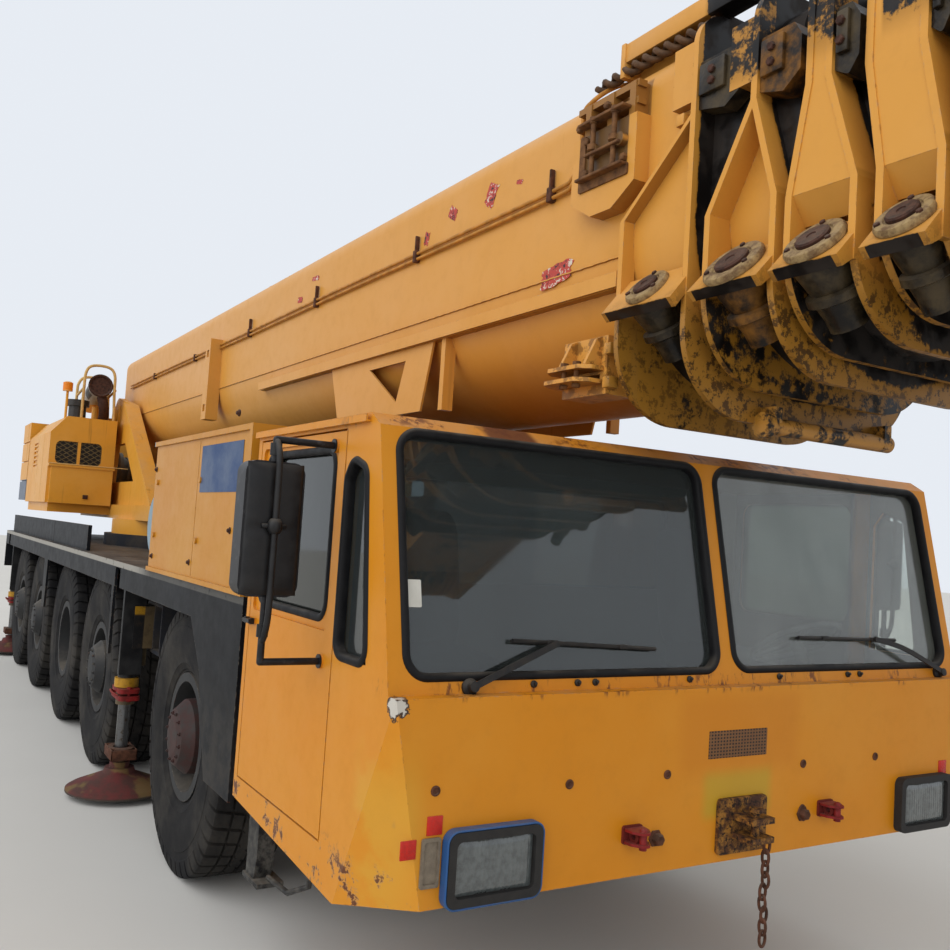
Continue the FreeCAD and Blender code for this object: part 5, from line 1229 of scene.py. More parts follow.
class CRANE_OT_front_fittings(bpy.types.Operator):
    """Ribbed lamp glasses, a lamp's trim, reflectors, the vent, hooks, plugs, a chain and step brackets."""
    bl_idname = "crane.front_fittings"
    bl_label = "Front fittings"

    def execute(self, context):
        glass = Shape()
        # A pillow that falls to the frame at its border, with upright ribs across it
        u, v = np.meshgrid(np.linspace(-1, 1, 61), np.linspace(-1, 1, 25), indexing="ij")
        pillow = (1 - np.abs(u) ** 6) * (1 - np.abs(v) ** 6)
        swell = 0.0095 * pillow + 0.0016 * np.cos(u * 60) * pillow
        for y in (-1.115, 1.165):
            points = joined(FACE_X + 0.0215 + swell, y + 0.148 * u, 0.8825 + 0.086 * v)
            glass.add(*block_between(points, FACE_X + 0.0195))
        glass.build("lamp_glass", "lens_glass", "carrier", None, 60)
        trim = Shape()
        rows = []
        for out, level in ((0.0, -0.037), (0.0, -0.003), (0.003, -0.0005), (0.0075, -0.003),
                           (0.0075, -0.037)):
            loop = box_loop(-1.115 - 0.1805 - out, -1.115 + 0.1805 + out, 0.7645 - out, 1.0005 + out,
                            0.034 + out, 8)
            rows.append(joined(FACE_X + 0.038 + level, loop[:, 0], loop[:, 1]))
        trim.add(*loft(np.stack(rows + rows[:1]), caps=False))
        trim.build("lamp_frame", "blue_paint", "carrier", "lamp_housing")
        reflectors = Shape()
        for y, z in ((-1.425, 0.955), (-1.335, 1.022), (1.325, 1.022)):
            reflectors.add(*brick((FACE_X - 0.002, y - 0.028, z - 0.030), (FACE_X + 0.004, y + 0.028,
                    z + 0.030), 0.002))
        reflectors.build("reflectors", "reflector_red", "carrier")
        Shape().add(*brick((FACE_X - 0.002, -0.155, 1.152), (FACE_X + 0.002, 0.160, 1.256), 0.001)).build(
            "vent_plate", "vent_plate", "carrier")
        hooks = Shape()
        for y in (-0.52, 0.52):
            # Two flat prongs that stand out over the eye, each narrowing to a rounded tip
            prong = rounded_loop([(0.008, -0.046), (0.050, -0.040), (0.088, -0.016), (0.088, 0.016),
                                  (0.050, 0.040),
                                  (0.008, 0.046)], 0.012, 5)
            for z in (0.886, 0.929):
                hooks.add(*slab(prong, 0.009, level_plane(z, FACE_X, y)))
            hooks.add(*lathe([(0.001, -0.004), (0.014, -0.004), (0.014, 0.066), (0.009, 0.072),
                              (0.001, 0.072)],
                             (FACE_X + 0.066, y, 0.878), (0, 0, 1), 12))
        hooks.build("front_hooks", "red_paint", "carrier")
        plugs = Shape()
        for y, z in ((-1.34, 1.13), (-0.81, 1.11), (-0.36, 1.11), (0.38, 1.10), (0.84, 1.10), (-0.40, 0.885),
                     (0.385, 0.92),
                     (0.395, 0.885)):
            plugs.add(*lathe([(0.017, -0.001), (0.017, 0.003), (0.012, 0.005), (0.009, 0.001),
                              (0.0005, 0.001)],
                             (FACE_X, y, z), (1, 0, 0), 16))
        for y, z, out in ((-0.405, 0.885, 0.030), (0.385, 0.900, 0.026)):
            plugs.add(*lathe([(0.032, -0.001), (0.032, 0.006), (0.022, 0.008), (0.022, out),
                              (0.017, out + 0.005),
                              (0.0005, out + 0.005)], (FACE_X, y, z), (1, 0, 0), 6))
        plugs.build("front_plugs", "rusty_iron", "carrier")
        # A short chain from the coupling's pin: ovals, each turned a quarter from the one above it
        chain = Shape()
        turn = np.linspace(0, 2 * math.pi, 16, endpoint=False)
        for link in range(9):
            across, up = 0.016 * np.cos(turn), 0.030 * np.sin(turn)
            centre = np.array([FACE_X + 0.098 + 0.004 * math.sin(link), 0.070 + 0.006 * math.cos(2.1 * link),
                               0.835 - 0.043 * link])
            flat = np.stack([across, 0 * across, up] if link % 2 else [0 * across, across, up], axis=-1)
            chain.add(*pipe(centre + flat, 0.0058, (0.0, 1.0, 0.0) if link % 2 else (1.0, 0.0, 0.0), 8,
                            closed=True))
        chain.build("coupling_chain", "rusty_iron", "carrier", None, 60)
        # A scuffed step bracket that hangs under the cab's floor behind each front corner
        bracket = Shape()
        for sign in SIDES.values():
            channel = np.array([(0, 0), (0.13, 0), (0.13, 0.08), (0.121, 0.08), (0.121, 0.009),
                                (0.009, 0.009), (0.009, 0.08), (0, 0.08)])
            low = channel * np.array([0.8, 1.0])
            rows = [joined(behind(1.58) + ring[:, 0], sign * (1.385 - ring[:, 1]), z)
                    for ring, z in ((low, 0.372), (channel, 0.470), (channel, 0.752))]
            bracket.add(*loft(np.stack(rows)))
            low_y, high_y = sorted((sign * 1.395, sign * 1.270))
            bracket.add(*brick((behind(1.60), low_y, 0.352), (behind(1.40), high_y, 0.374), 0.004))
            bracket.add(*pipe([(behind(1.44), sign * 1.33, 0.385), (behind(1.20), sign * 1.33, 0.400),
                               (behind(0.98), sign * 1.33, 0.500),
                               (behind(0.96), sign * 1.33, 0.720)], 0.012, (0, 1, 0), 8))
        bracket.build("step_brackets", "scuffed_black", "carrier")
        return {"FINISHED"}


class CRANE_OT_mirrors(bpy.types.Operator):
    """Door mirrors: the glass on the rear face, a swollen front cover and two clamps on the tube."""
    bl_idname = "crane.mirrors"
    bl_label = "Door mirrors"

    def execute(self, context):
        for side, sign in SIDES.items():
            middle = sign * (HALF_WIDTH + 0.230)
            tube = behind(0.620)
            shape = Shape()
            # The cover swells forward by a pillow that falls to nothing at its border
            u, v = np.meshgrid(np.linspace(-1, 1, 25), np.linspace(-1, 1, 33), indexing="ij")
            pillow = np.clip(1 - np.abs(u) ** 5, 0, 1) * np.clip(1 - np.abs(v) ** 8, 0, 1)
            crease = 0.006 * np.exp(-(u / 0.10) ** 2) + 0.005 * np.exp(-(v / 0.06) ** 2) * (np.abs(u) > 0.05)
            swell = 0.016 * np.sqrt(pillow) - crease * pillow
            front = joined(tube + 0.0195 + swell, middle + 0.104 * u, 1.920 + 0.234 * v)
            shape.add(*block_between(front, tube + 0.015))
            for z in (1.560, 1.920, 2.205):
                shape.add(*lathe([(0.001, -0.022), (0.021, -0.022), (0.021, 0.022), (0.001, 0.022)],
                                 (tube, middle, z), (0, 0, 1), 14))
            # The tube that runs down the front of the cover, with a ball clamp half-way
            run = smooth_line([(tube, middle, 2.236), (tube + 0.020, middle, 2.222), (tube + 0.046, middle,
                    2.170),
                               (tube + 0.050, middle, 2.050), (tube + 0.050, middle, 1.750),
                               (tube + 0.046, middle, 1.610),
                               (tube + 0.020, middle, 1.540), (tube, middle, 1.520)], 5)
            shape.add(*pipe(run, 0.0115, (0, 1, 0), 10))
            shape.add(*lathe([(0.001, -0.030), (0.018, -0.026), (0.026, -0.012), (0.026, 0.012),
                              (0.018, 0.026), (0.001, 0.030)],
                             (tube + 0.048, middle, 1.930), (0, 0, 1), 14))
            shape.add(*brick((tube + 0.028, middle - 0.045, 1.922), (tube + 0.046, middle + 0.045, 1.938),
                             0.004))
            shape.build(f"mirror_cover_{side}", "black_plastic", f"door_{side}", None, 50)
            loop = box_loop(middle - 0.092, middle + 0.092, 1.70, 2.14, 0.03, 6)
            face = Shape().add(*slab(loop, 0.005, cross_plane(tube - 0.079)))
            face.build(f"mirror_glass_{side}", "mirror_face", f"door_{side}")
        return {"FINISHED"}


class CRANE_OT_seats(bpy.types.Operator):
    """Cab seats: crowned cushions whose sides draw in, over the dash and the steering wheel."""
    bl_idname = "crane.seats"
    bl_label = "Cab seats and dash"

    def execute(self, context):
        floor = 1.010
        flat, steep = 0.05, math.radians(80)

        def cushion(name, body, centre, size, lean):
            """A rounded block: a superellipsoid, whose coordinates are powers of sines and cosines."""
            u = np.linspace(-math.pi / 2, math.pi / 2, 25)[:, None]
            v = np.linspace(-math.pi, math.pi, 48, endpoint=False)[None]

            def power(value, exponent):
                return np.sign(value) * np.abs(value) ** exponent

            x = power(np.cos(u), 0.45) * power(np.cos(v), 0.35) * size[0] / 2
            y = power(np.cos(u), 0.45) * power(np.sin(v), 0.35) * size[1] / 2
            z = power(np.sin(u), 0.55) * size[2] / 2 + 0 * v
            crown = 0.012 * np.exp(-(y / (0.35 * size[1])) ** 2) * np.sign(z)
            z = z + crown - 0.006 * np.cos(y * 55) * (z > 0)
            c, s = math.cos(lean), math.sin(lean)
            points = joined(centre[0] + x * c + z * s, centre[1] + y, centre[2] - x * s + z * c)
            shape = Shape().add(points, grid_faces(25, 48, False, True))
            pad = shape.build(name, "seat_cloth", body, "cabin_trim", 60)

        for side, sign in SIDES.items():
            seat_y = sign * 0.85
            cushion(f"seat_base_{side}", "carrier", (behind(0.93), seat_y, floor + 0.36), (0.46, 0.47, 0.15),
                    flat)
            cushion(f"seat_back_{side}", "carrier", (behind(1.175), seat_y, floor + 0.72),
                    (0.64, 0.45, 0.13), steep)
            rest = Shape().add(*brick((behind(1.12), seat_y - 0.20, floor), (behind(0.74), seat_y + 0.20,
                    floor + 0.29), 0.02))
            rest.build(f"seat_box_{side}", "trim_grey", "carrier", "cabin_trim")
        # The crane operator's seat, on a box between two lever consoles
        low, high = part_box("crane_cab")
        middle, upper_floor = (low.y + high.y) / 2, low.z + 0.045
        cushion("operator_seat_base", "superstructure", (behind(6.60), middle, upper_floor + 0.44),
                (0.46, 0.44, 0.14), flat)
        cushion("operator_seat_back", "superstructure", (behind(6.84), middle, upper_floor + 0.80),
                (0.64, 0.42, 0.13), steep)
        controls = Shape().add(*brick((behind(6.78), middle - 0.19, upper_floor),
                                      (behind(6.42), middle + 0.19, upper_floor + 0.37), 0.02))
        for sign in (-1, 1):
            inner, outer = sorted((middle + sign * 0.235, middle + sign * 0.31))
            controls.add(*brick((behind(6.72), inner, upper_floor), (behind(6.30), outer,
                    upper_floor + 0.58), 0.015))
            lever = [(behind(6.38), (inner + outer) / 2, upper_floor + 0.57),
                     (behind(6.36), (inner + outer) / 2, upper_floor + 0.70)]
            controls.add(*pipe(lever, 0.010, (0, 1, 0), 8))
            controls.add(*lathe([(0.001, -0.028), (0.020, -0.020), (0.026, 0.0), (0.020, 0.022),
                                 (0.001, 0.030)],
                                (behind(6.36), (inner + outer) / 2, upper_floor + 0.71), (0, 0, 1), 14))
        controls.build("operator_controls", "trim_grey", "superstructure", "cabin_trim")
        dash = Shape()
        outline = np.array([(0.132, floor), (0.132, 1.42), (0.20, 1.436), (0.268, 1.438), (0.325, 1.33),
                            (0.325, floor)])
        across = np.linspace(-1.348, 1.348, 2)
        rows = np.stack([joined(behind(outline[:, 0]), y, outline[:, 1]) for y in across])
        dash.add(*loft(rows))
        centre = np.array([behind(0.465), 0.85, 1.532])
        turn = np.linspace(0, 2 * math.pi, 48, endpoint=False)
        tilt = np.array([-0.5, 0, 0.86])
        side_axis, other = np.array([0, 1.0, 0]), np.cross(tilt, [0, 1.0, 0])
        ring = centre + 0.212 * (np.cos(turn)[:, None] * side_axis + np.sin(turn)[:, None] * other)
        dash.add(*pipe(ring, 0.013, tilt, 10, closed=True))
        for start in (0.0, 2.1, 4.2):
            spoke = np.array([centre,
                              centre + 0.21 * (math.cos(start) * side_axis + math.sin(start) * other)])
            dash.add(*pipe(spoke, 0.010, tilt, 8))
        dash.add(*pipe(np.array([centre - tilt * 0.27, centre + tilt * 0.012]), 0.028, (0, 1, 0), 12))
        piece = dash.build("dash", "trim_grey", "carrier", "cabin_trim")
        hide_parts("cab_interior")
        return {"FINISHED"}


class CRANE_OT_boom_pipes(bpy.types.Operator):
    """Steel pipes along the boom's side, held by clips, and the bend that goes up to the boom's top."""
    bl_idname = "crane.boom_pipes"
    bl_label = "Boom pipes and clips"

    def execute(self, context):
        radius = context.scene.crane_sizes.pipe_radius
        pipes, clips = Shape(), Shape()
        side_y = -(BOOM_HALF + 0.016)
        for sign in (1.0, -1.0):
            for z in (3.402, 3.432):
                path = [(9.1, z), (7.2, z + 0.002), (4.9, z - 0.002), (2.9, z + 0.003), (1.3, z - 0.002),
                        (0.62, z), (0.50, z + 0.02)]
                if sign > 0:
                    path += [(0.452, z + 0.12), (0.448, z + 0.26), (0.40, 3.735)]
                backs = np.array(path)
                points = joined(behind(backs[:, 0]), sign * side_y, backs[:, 1])
                if sign > 0:
                    points = np.concatenate([points, [(behind(0.34), side_y + 0.09, 3.81),
                                                      (behind(0.20), side_y + 0.20, 3.812)]])
                pipes.add(*pipe(smooth_line(points, 8), radius, (0, 1, 0.2), 8))
            for back in (0.65, 1.89, 3.32, 4.71, 6.3, 7.9):
                middle = sign * side_y
                low = (behind(back) - 0.016, middle - 0.016, 3.385)
                high = (behind(back) + 0.016, middle + 0.016, 3.450)
                clips.add(*brick(low, high, 0.004))
                if back < 5:
                    clips.add(*brick((behind(back) - 0.006, middle - 0.012, 3.44), (behind(back) + 0.006,
                            middle + 0.012, 3.53), 0.003))
        # Two twisted hoses under the guide beam on top
        lane = np.linspace(0, 1, 90)
        hoses = Shape()
        for turn in (0.0, math.pi):
            points = joined(behind(0.42 - 0.66 * lane), -0.530 + 0.016 * np.cos(lane * 34 + turn),
                               3.812 + 0.012 * np.sin(lane * math.pi) + 0.016 * np.sin(lane * 34 + turn))
            hoses.add(*pipe(points, 0.013, (0, 1, 0.2), 8))
        hoses.build("twisted_hoses", "hose_brown", "boom_base", None, 50)
        pipes.build("boom_pipes", "pipe_paint", "boom_base", None, 50)
        beam = Shape()
        beam.add(*brick((behind(0.26), -0.548, 3.852), (behind(-0.700), -0.458, 3.930), 0.005))
        beam.add(*brick((behind(0.266), -0.554, 3.792), (behind(0.240), -0.452, 3.934), 0.004))
        lug = rounded_loop([(-0.13, 3.925), (-0.29, 3.925), (-0.26, 3.995), (-0.17, 3.995)], 0.02, 6)
        beam.add(*slab(lug, 0.016, side_plane(-0.530)))
        beam.build("guide_beam", "boom_orange_0", "boom_base", "boom_paint")
        clips.build("boom_clips", "rusty_iron", "boom_base")
        # Weld seams that run the length of the tube
        seams = Shape()
        for sign in (1.0, -1.0):
            count = 360
            back = np.linspace(0.14, 9.45, count)
            wobble = 0.0012 * np.sin(np.arange(count) * 2.1)
            path = joined(behind(back), sign * (BOOM_HALF + 0.0005), 3.052 + wobble)
            seams.add(*pipe(path, 0.0048, (0, 1, 0), 6))
        seams.build("boom_seams", "boom_orange_0", "boom_base", "boom_paint", 60)
        return {"FINISHED"}


class CRANE_OT_mouth_fittings(bpy.types.Operator):
    """Round caps with bolts on the shelves, bottle-shaped pad holders under them, and latch blocks above."""
    bl_idname = "crane.mouth_fittings"
    bl_label = "Boom mouth fittings"

    def execute(self, context):
        # Radius of the cap's ring, and the latch block's front-to-rear place and height, by section
        caps = (0.088, 0.108, 0.098, 0.086, 0.066)
        blocks = ((0.248, 0.455, 3.44, 3.64), (0.526, 0.690, 3.40, 3.61), (0.818, 0.903, 3.36, 3.58),
                  (1.129, 1.186, 3.36, 3.56))
        for section, row in enumerate(MOUTHS):
            rear, front = row[:2]
            rings, bolts, holders = Shape(), Shape(), Shape()
            radius = caps[section]
            half = BOOM_HALF - BOOM_STEP * section
            for sign in SIDES.values():
                cap = np.array([behind((rear + front) / 2), sign * (RIM_HALF + 0.005), 2.865])
                normal = np.array([0, sign * 0.733, 0.68])
                ring = [(radius, 0.002), (radius + 0.002, 0.012), (radius - 0.004, 0.023), (radius - 0.012,
                        0.026),
                        (radius * 0.66, 0.024), (radius * 0.62, 0.019), (0.001, 0.019)]
                rings.add(*lathe(ring, cap, normal, 36))
                middle = [(radius * 0.56, 0.017), (radius * 0.56, 0.029), (radius * 0.50, 0.034),
                          (radius * 0.16, 0.034),
                          (radius * 0.14, 0.030), (0.001, 0.030)]
                bolts.add(*lathe(middle, cap, normal, 28))
                across, down = np.array([1.0, 0, 0]), np.array([0, sign * 0.68, -0.733])
                for angle in (0.4, 2.5, 4.6):
                    spoke = math.cos(angle) * across + math.sin(angle) * down
                    at = cap + normal * 0.022 + radius * 0.81 * spoke
                    bolts.add(*lathe([(0.010, -0.002), (0.010, 0.008), (0.008, 0.010), (0.001, 0.010)], at,
                                     normal, 6))
                # The holder narrows, swells into a collar and runs on as a neck
                size = min(0.090, (rear - front) / 2 - 0.034)
                bottle = [(size, 0.012), (size * 1.02, 0.050), (size * 0.86, 0.100), (size * 0.80, 0.118),
                          (size * 1.02, 0.124),
                          (size * 1.04, 0.148), (size * 0.82, 0.156), (size * 0.70, 0.200),
                          (size * 0.66, 0.248), (0.001, 0.252)]
                holders.add(*lathe(bottle, cap - normal * 0.024, (0, -0.6 * sign, -0.8), 24))
                if section < 4:
                    low_x, high_x, low_z, high_z = blocks[section]
                    inner = half - BOOM_STEP + 0.014
                    y = np.sort([sign * inner, sign * 0.606])
                    x_low, x_high = FACE_X + low_x, FACE_X + high_x
                    outline = rounded_loop([(x_low, low_z + 0.03), (x_low + 0.6 * (x_high - x_low), low_z),
                                            (x_high, low_z + 0.05), (x_high, high_z - 0.05),
                                            (x_high - 0.03, high_z), (x_low, high_z)], 0.008, 3)
                    holders.add(*slab(outline, y[1] - y[0], lambda u, v, w, y=y: joined(u, y[0] + w, v)))
                    # A stepped lug with its bolt on the outer face
                    tab_low, tab_high = sorted((sign * 0.60, sign * 0.622))
                    holders.add(*brick((x_low + 0.012, tab_low, low_z + 0.07),
                                       (x_low + 0.62 * (x_high - x_low), tab_high, high_z - 0.02), 0.004))
                    for z in (low_z + 0.105, high_z - 0.055):
                        at = (x_low + 0.36 * (x_high - x_low), sign * 0.620, z)
                        bolts.add(*lathe([(0.015, -0.002), (0.015, 0.011), (0.012, 0.014), (0.001, 0.014)],
                                         at, (0, sign, 0), 6))
            body = BODY_OF["boom_base" if section == 0 else f"tele_{section}"]
            rings.build(f"cap_rings_{section}", "worn_cap", body)
            bolts.build(f"cap_bolts_{section}", "cap_rust", body, None, 30)
            holders.build(f"pad_holders_{section}", "grease_black" if section != 1 else "greasy_paint", body)
        return {"FINISHED"}


class CRANE_OT_boom_fittings(bpy.types.Operator):
    """On the boom's right side: the latch frame's rods and brackets, small tabs and the clamp box's jaws."""
    bl_idname = "crane.boom_fittings"
    bl_label = "Boom side fittings"

    def execute(self, context):
        rods, tabs = Shape(), Shape()
        face = -(BOOM_HALF + 0.070)
        for back in (0.145, 0.275):
            rods.add(*lathe([(0.001, -0.112), (0.011, -0.112), (0.011, -0.010), (0.022, -0.006),
                             (0.022, 0.016), (0.011, 0.020),
                             (0.011, 0.100), (0.017, 0.104), (0.017, 0.128), (0.001, 0.130)],
                            (behind(back), face - 0.022, 3.480), (0, 0, 1), 10))
        for z, low, high in ((3.365, 0.36, 0.08), (3.452, 0.31, 0.10), (3.588, 0.36, 0.08)):
            rods.add(*brick((behind(low), face - 0.040, z), (behind(high), face + 0.004, z + 0.012), 0.003))
        for back, z in ((0.33, 3.40), (0.10, 3.40), (0.33, 3.53), (0.215, 3.64), (0.385, 3.60)):
            rods.add(*lathe([(0.016, -0.004), (0.016, 0.012), (0.012, 0.016), (0.001, 0.016)],
                            (behind(back), face - 0.002, z), (0, -1, 0), 6))
        # A bracket plate in front of the recess, cut away in the middle
        bracket = rounded_loop([(0.375, 3.330), (0.075, 3.330), (0.075, 3.375), (0.340, 3.375),
                                (0.340, 3.560), (0.375, 3.560)], 0.008, 3)
        rods.add(*slab(bracket, 0.010, side_plane(face - 0.008)))
        # The clamp's jaws: two plates with a gap, a web over them and upright bolts
        side = -(BOOM_HALF + 0.002)
        for z, reach in ((2.612, 0.105), (2.560, 0.120)):
            plate = rounded_loop([(0.235, side + 0.01), (0.520, side + 0.01), (0.520, side - 0.5 * reach),
                                  (0.470, side - reach), (0.275, side - reach), (0.235, side - 0.6 * reach)],
                                 0.018, 4)
            tabs.add(*slab(plate * np.array([-1.0, 1.0]), 0.016, level_plane(z, FACE_X)))
        web = rounded_loop([(side + 0.012, 2.625), (side - 0.085, 2.625), (side - 0.030, 2.735),
                            (side + 0.012, 2.755)], 0.008, 4)
        for back in (0.27, 0.43):
            tabs.add(*slab(web, 0.016, cross_plane(behind(back))))
        for back in (0.315, 0.395):
            rods.add(*lathe([(0.001, -0.052), (0.017, -0.050), (0.017, -0.036), (0.010, -0.034),
                             (0.010, 0.036), (0.017, 0.038),
                             (0.017, 0.052), (0.001, 0.054)], (behind(back), side - 0.075, 2.594), (0, 0, 1),
                            8))
        for z in (3.580, 3.470, 2.690, 2.560):
            back = -0.15 if z > 3 else 0.19
            tabs.add(*brick((behind(back) - 0.020, side - 0.030, z - 0.022), (behind(back) + 0.020,
                    side + 0.02, z + 0.022), 0.004))
        rods.build("latch_rods", "latch_iron", "boom_base")
        tabs.build("boom_tabs", "boom_orange_0", "boom_base", "boom_paint")
        return {"FINISHED"}


class CRANE_OT_jack_fittings(bpy.types.Operator):
    """Red clamps and a black guard on each jack tube, and the bracket that stands on each float."""
    bl_idname = "crane.jack_fittings"
    bl_label = "Jack fittings"

    def execute(self, context):
        for place in ("front", "rear"):
            for side, sign in SIDES.items():
                low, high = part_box(f"jack_{place}_{side}")
                x, y = (low.x + high.x) / 2, (low.y + high.y) / 2
                clamp = Shape()
                for z_low, z_high, reach in ((0.706, 0.736, 0.132), (0.660, 0.690, 0.145)):
                    ring = rounded_loop([(-reach, -0.070), (reach, -0.070), (reach, 0.070), (-reach, 0.070)],
                                        0.030, 5)
                    clamp.add(*slab(ring, z_high - z_low, level_plane(z_low, x, y)))
                for shift in (-0.108, 0.108):
                    clamp.add(*lathe([(0.001, -0.048), (0.018, -0.046), (0.018, -0.034), (0.011, -0.032),
                                      (0.011, 0.036),
                                      (0.018, 0.038), (0.018, 0.052), (0.001, 0.054)], (x + shift, y, 0.696),
                                     (0, 0, 1), 8))
                clamp.add(*pipe(smooth_line([(x - 0.03, y + sign * 0.068, 0.700),
                                             (x + 0.01, y + sign * 0.105, 0.722),
                                             (x + 0.06, y + sign * 0.098, 0.706),
                                             (x + 0.085, y + sign * 0.068, 0.690)], 5), 0.007, (0, 0, 1), 8))
                clamp.build(f"jack_clamps_{place}_{side}", "red_paint", f"beam_{place}_{side}")
                guard = Shape()
                face = [(0.066, -0.074), (0.078, -0.074), (0.078, 0.074), (0.066, 0.074)]
                guard.add(*slab(face, 1.440 - 0.830, level_plane(0.830, x, y)))
                for v in (-0.071, 0.071):
                    guard.add(*brick((x + 0.030, y + v - 0.003, 0.830), (x + 0.070, y + v + 0.003, 1.440),
                                     0.002))
                guard.build(f"jack_guard_{place}_{side}", "black_plastic", f"beam_{place}_{side}")
                # The bracket: an open frame round the rod with a plate over it
                frame_piece = Shape()
                for v in (-0.085, 0.077):
                    frame_piece.add(*brick((x - 0.125, y + v, 0.255), (x + 0.125, y + v + 0.008, 0.325),
                                           0.002))
                for u in (-0.125, 0.117):
                    frame_piece.add(*brick((x + u, y - 0.085, 0.255), (x + u + 0.008, y + 0.085, 0.325),
                                           0.002))
                for z in (0.255, 0.318):
                    inner = circle(28, 0.0545)
                    outer = circle(28, 0.110) * np.array([1.05, 0.78])
                    rows = [joined(x + line[:, 0], y + line[:, 1], level)
                            for line, level in ((inner, z), (outer, z), (outer, z + 0.009),
                                                (inner, z + 0.009))]
                    frame_piece.add(np.stack(rows), grid_faces(4, 28, True, True))
                frame_piece.build(f"float_bracket_{place}_{side}", "rusty_iron", f"jack_{place}_{side}")
        return {"FINISHED"}


class CRANE_OT_upper_fittings(bpy.types.Operator):
    """On the upper frame: the grille's diamond mesh, the silencer's end with its rails, and a beacon."""
    bl_idname = "crane.upper_fittings"
    bl_label = "Upper frame fittings"

    def execute(self, context):
        mesh = Shape()
        low_y, high_y, low_z, high_z = -1.385, -0.900, 2.435, 2.690
        slope, pitch = 0.62, 0.052
        for direction in (1.0, -1.0):
            for shift in np.arange(-0.60, 0.62, pitch):
                # The wire z = middle + direction * slope * (y - middle) + shift, kept inside the opening
                y = np.array([low_y, high_y])
                if abs(shift) > 0.27:
                    continue
                mid_y, mid_z = (low_y + high_y) / 2, (low_z + high_z) / 2
                limits = []
                for z_edge in (low_z, high_z):
                    limits.append(mid_y + (z_edge - mid_z - shift) / (direction * slope))
                first, last = max(low_y, min(limits)), min(high_y, max(limits))
                if last - first < 0.03:
                    continue
                ends = np.array([(behind(8.812), value,
                                  mid_z + direction * slope * (value - mid_y) + shift) for value in (first,
                        last)])
                mesh.add(*sweep(ends, np.array([(-0.0035, -0.002), (0.0035, -0.002), (0.0035, 0.002),
                                                (-0.0035, 0.002)]), (1, 0, 0)))
        mesh.build("grille_mesh", "mesh_wire", "superstructure", None, 30)
        rails = Shape()
        for back, top, inner, outer in ((8.93, 3.585, -0.80, -1.13), (9.40, 3.500, -0.78, -1.13)):
            hoop = smooth_line([(behind(back), outer, 2.965), (behind(back), outer, 3.30),
                                (behind(back), outer + 0.01, top - 0.08),
                                (behind(back), outer + 0.08, top), (behind(back), inner - 0.08, top),
                                (behind(back), inner - 0.01, top - 0.08),
                                (behind(back), inner, 3.30), (behind(back), inner + 0.02, 2.965)], 5)
            rails.add(*pipe(hoop, 0.016, (1, 0, 0), 10))
        for y in (-1.125, -0.79):
            rails.add(*pipe([(behind(8.93), y, 3.33), (behind(9.40), y, 3.28)], 0.014, (0, 0, 1), 8))
        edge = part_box("engine_hood")[0].y
        rails.add(*pipe([(behind(8.722), edge + 0.005, 2.432), (behind(8.722), -0.62, 2.432)], 0.006,
                        (0, 0, 1), 6))
        rails.build("hood_rails", "cream_paint", "superstructure", None, 50)
        dark = Shape()
        end = np.array([behind(8.97) , -0.95, 3.362])
        axis = np.array([0.985, -0.03, 0.17])
        dark.add(*lathe([(0.124, -0.004), (0.134, 0.002), (0.134, 0.022), (0.122, 0.028), (0.108, 0.020),
                         (0.104, 0.006), (0.001, 0.002)], end + axis * 0.022, axis, 32))
        dark.add(*pipe(smooth_line([(behind(8.99), -0.93, 3.27), (behind(8.97), -0.90, 3.15),
                                    (behind(9.02), -0.88, 3.05), (behind(9.10), -0.88, 2.96)], 6), 0.055,
                       (0, 1, 0), 14))
        dark.add(*brick((behind(8.735), -1.075, 2.060), (behind(8.722), -1.020, 2.105), 0.003))
        dark.build("silencer_end", "cap_rust", "superstructure")
        lens = Shape()
        ribs = np.linspace(0, 1, 9)
        profile = [(0.001, 0.0)] + [(0.0535 - 0.008 * t - 0.0012 * (index % 2), 0.002 + 0.096 * t) for index,
                                    t in enumerate(ribs)] + [(0.030, 0.108), (0.001, 0.112)]
        lens.add(*lathe(profile, (behind(8.92), -1.30, 3.2585), (0, 0, 1), 24))
        lens.build("beacon_lens", "beacon_amber", "superstructure")
        return {"FINISHED"}


class CRANE_OT_tail_lamps(bpy.types.Operator):
    """Tail lamps on the rear beam: a shallow housing with three ribbed lenses on each side."""
    bl_idname = "crane.tail_lamps"
    bl_label = "Tail lamps"

    def execute(self, context):
        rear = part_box("deck_skirts")[0].x
        housing, red, amber = Shape(), Shape(), Shape()
        for sign in SIDES.values():
            ends = np.sort([sign * 0.92, sign * 1.34])
            housing.add(*brick((rear - 0.030, ends[0], 1.215), (rear + 0.001, ends[1], 1.335), 0.006))
            for index, shape in enumerate((amber, red, red)):
                middle = sign * (1.27 - 0.14 * index)
                ribs = np.linspace(-0.058, 0.058, 9)
                profile = joined(rear - 0.040 - 0.004 * np.cos(ribs * 26) - 0.0015 * (np.arange(9) % 2),
                                 middle + ribs)
                rows = [joined(np.append(profile[:, 0], [rear - 0.029, rear - 0.029]),
                                  np.append(profile[:, 1], [middle + 0.058, middle - 0.058]), z)
                        for z in (1.228, 1.322)]
                shape.add(*loft(np.stack(rows)))
        housing.build("tail_lamp_housings", "lamp_black", "carrier")
        red.build("tail_lenses_red", "reflector_red", "carrier", None, 20)
        amber.build("tail_lenses_amber", "beacon_amber", "carrier", None, 20)
        return {"FINISHED"}


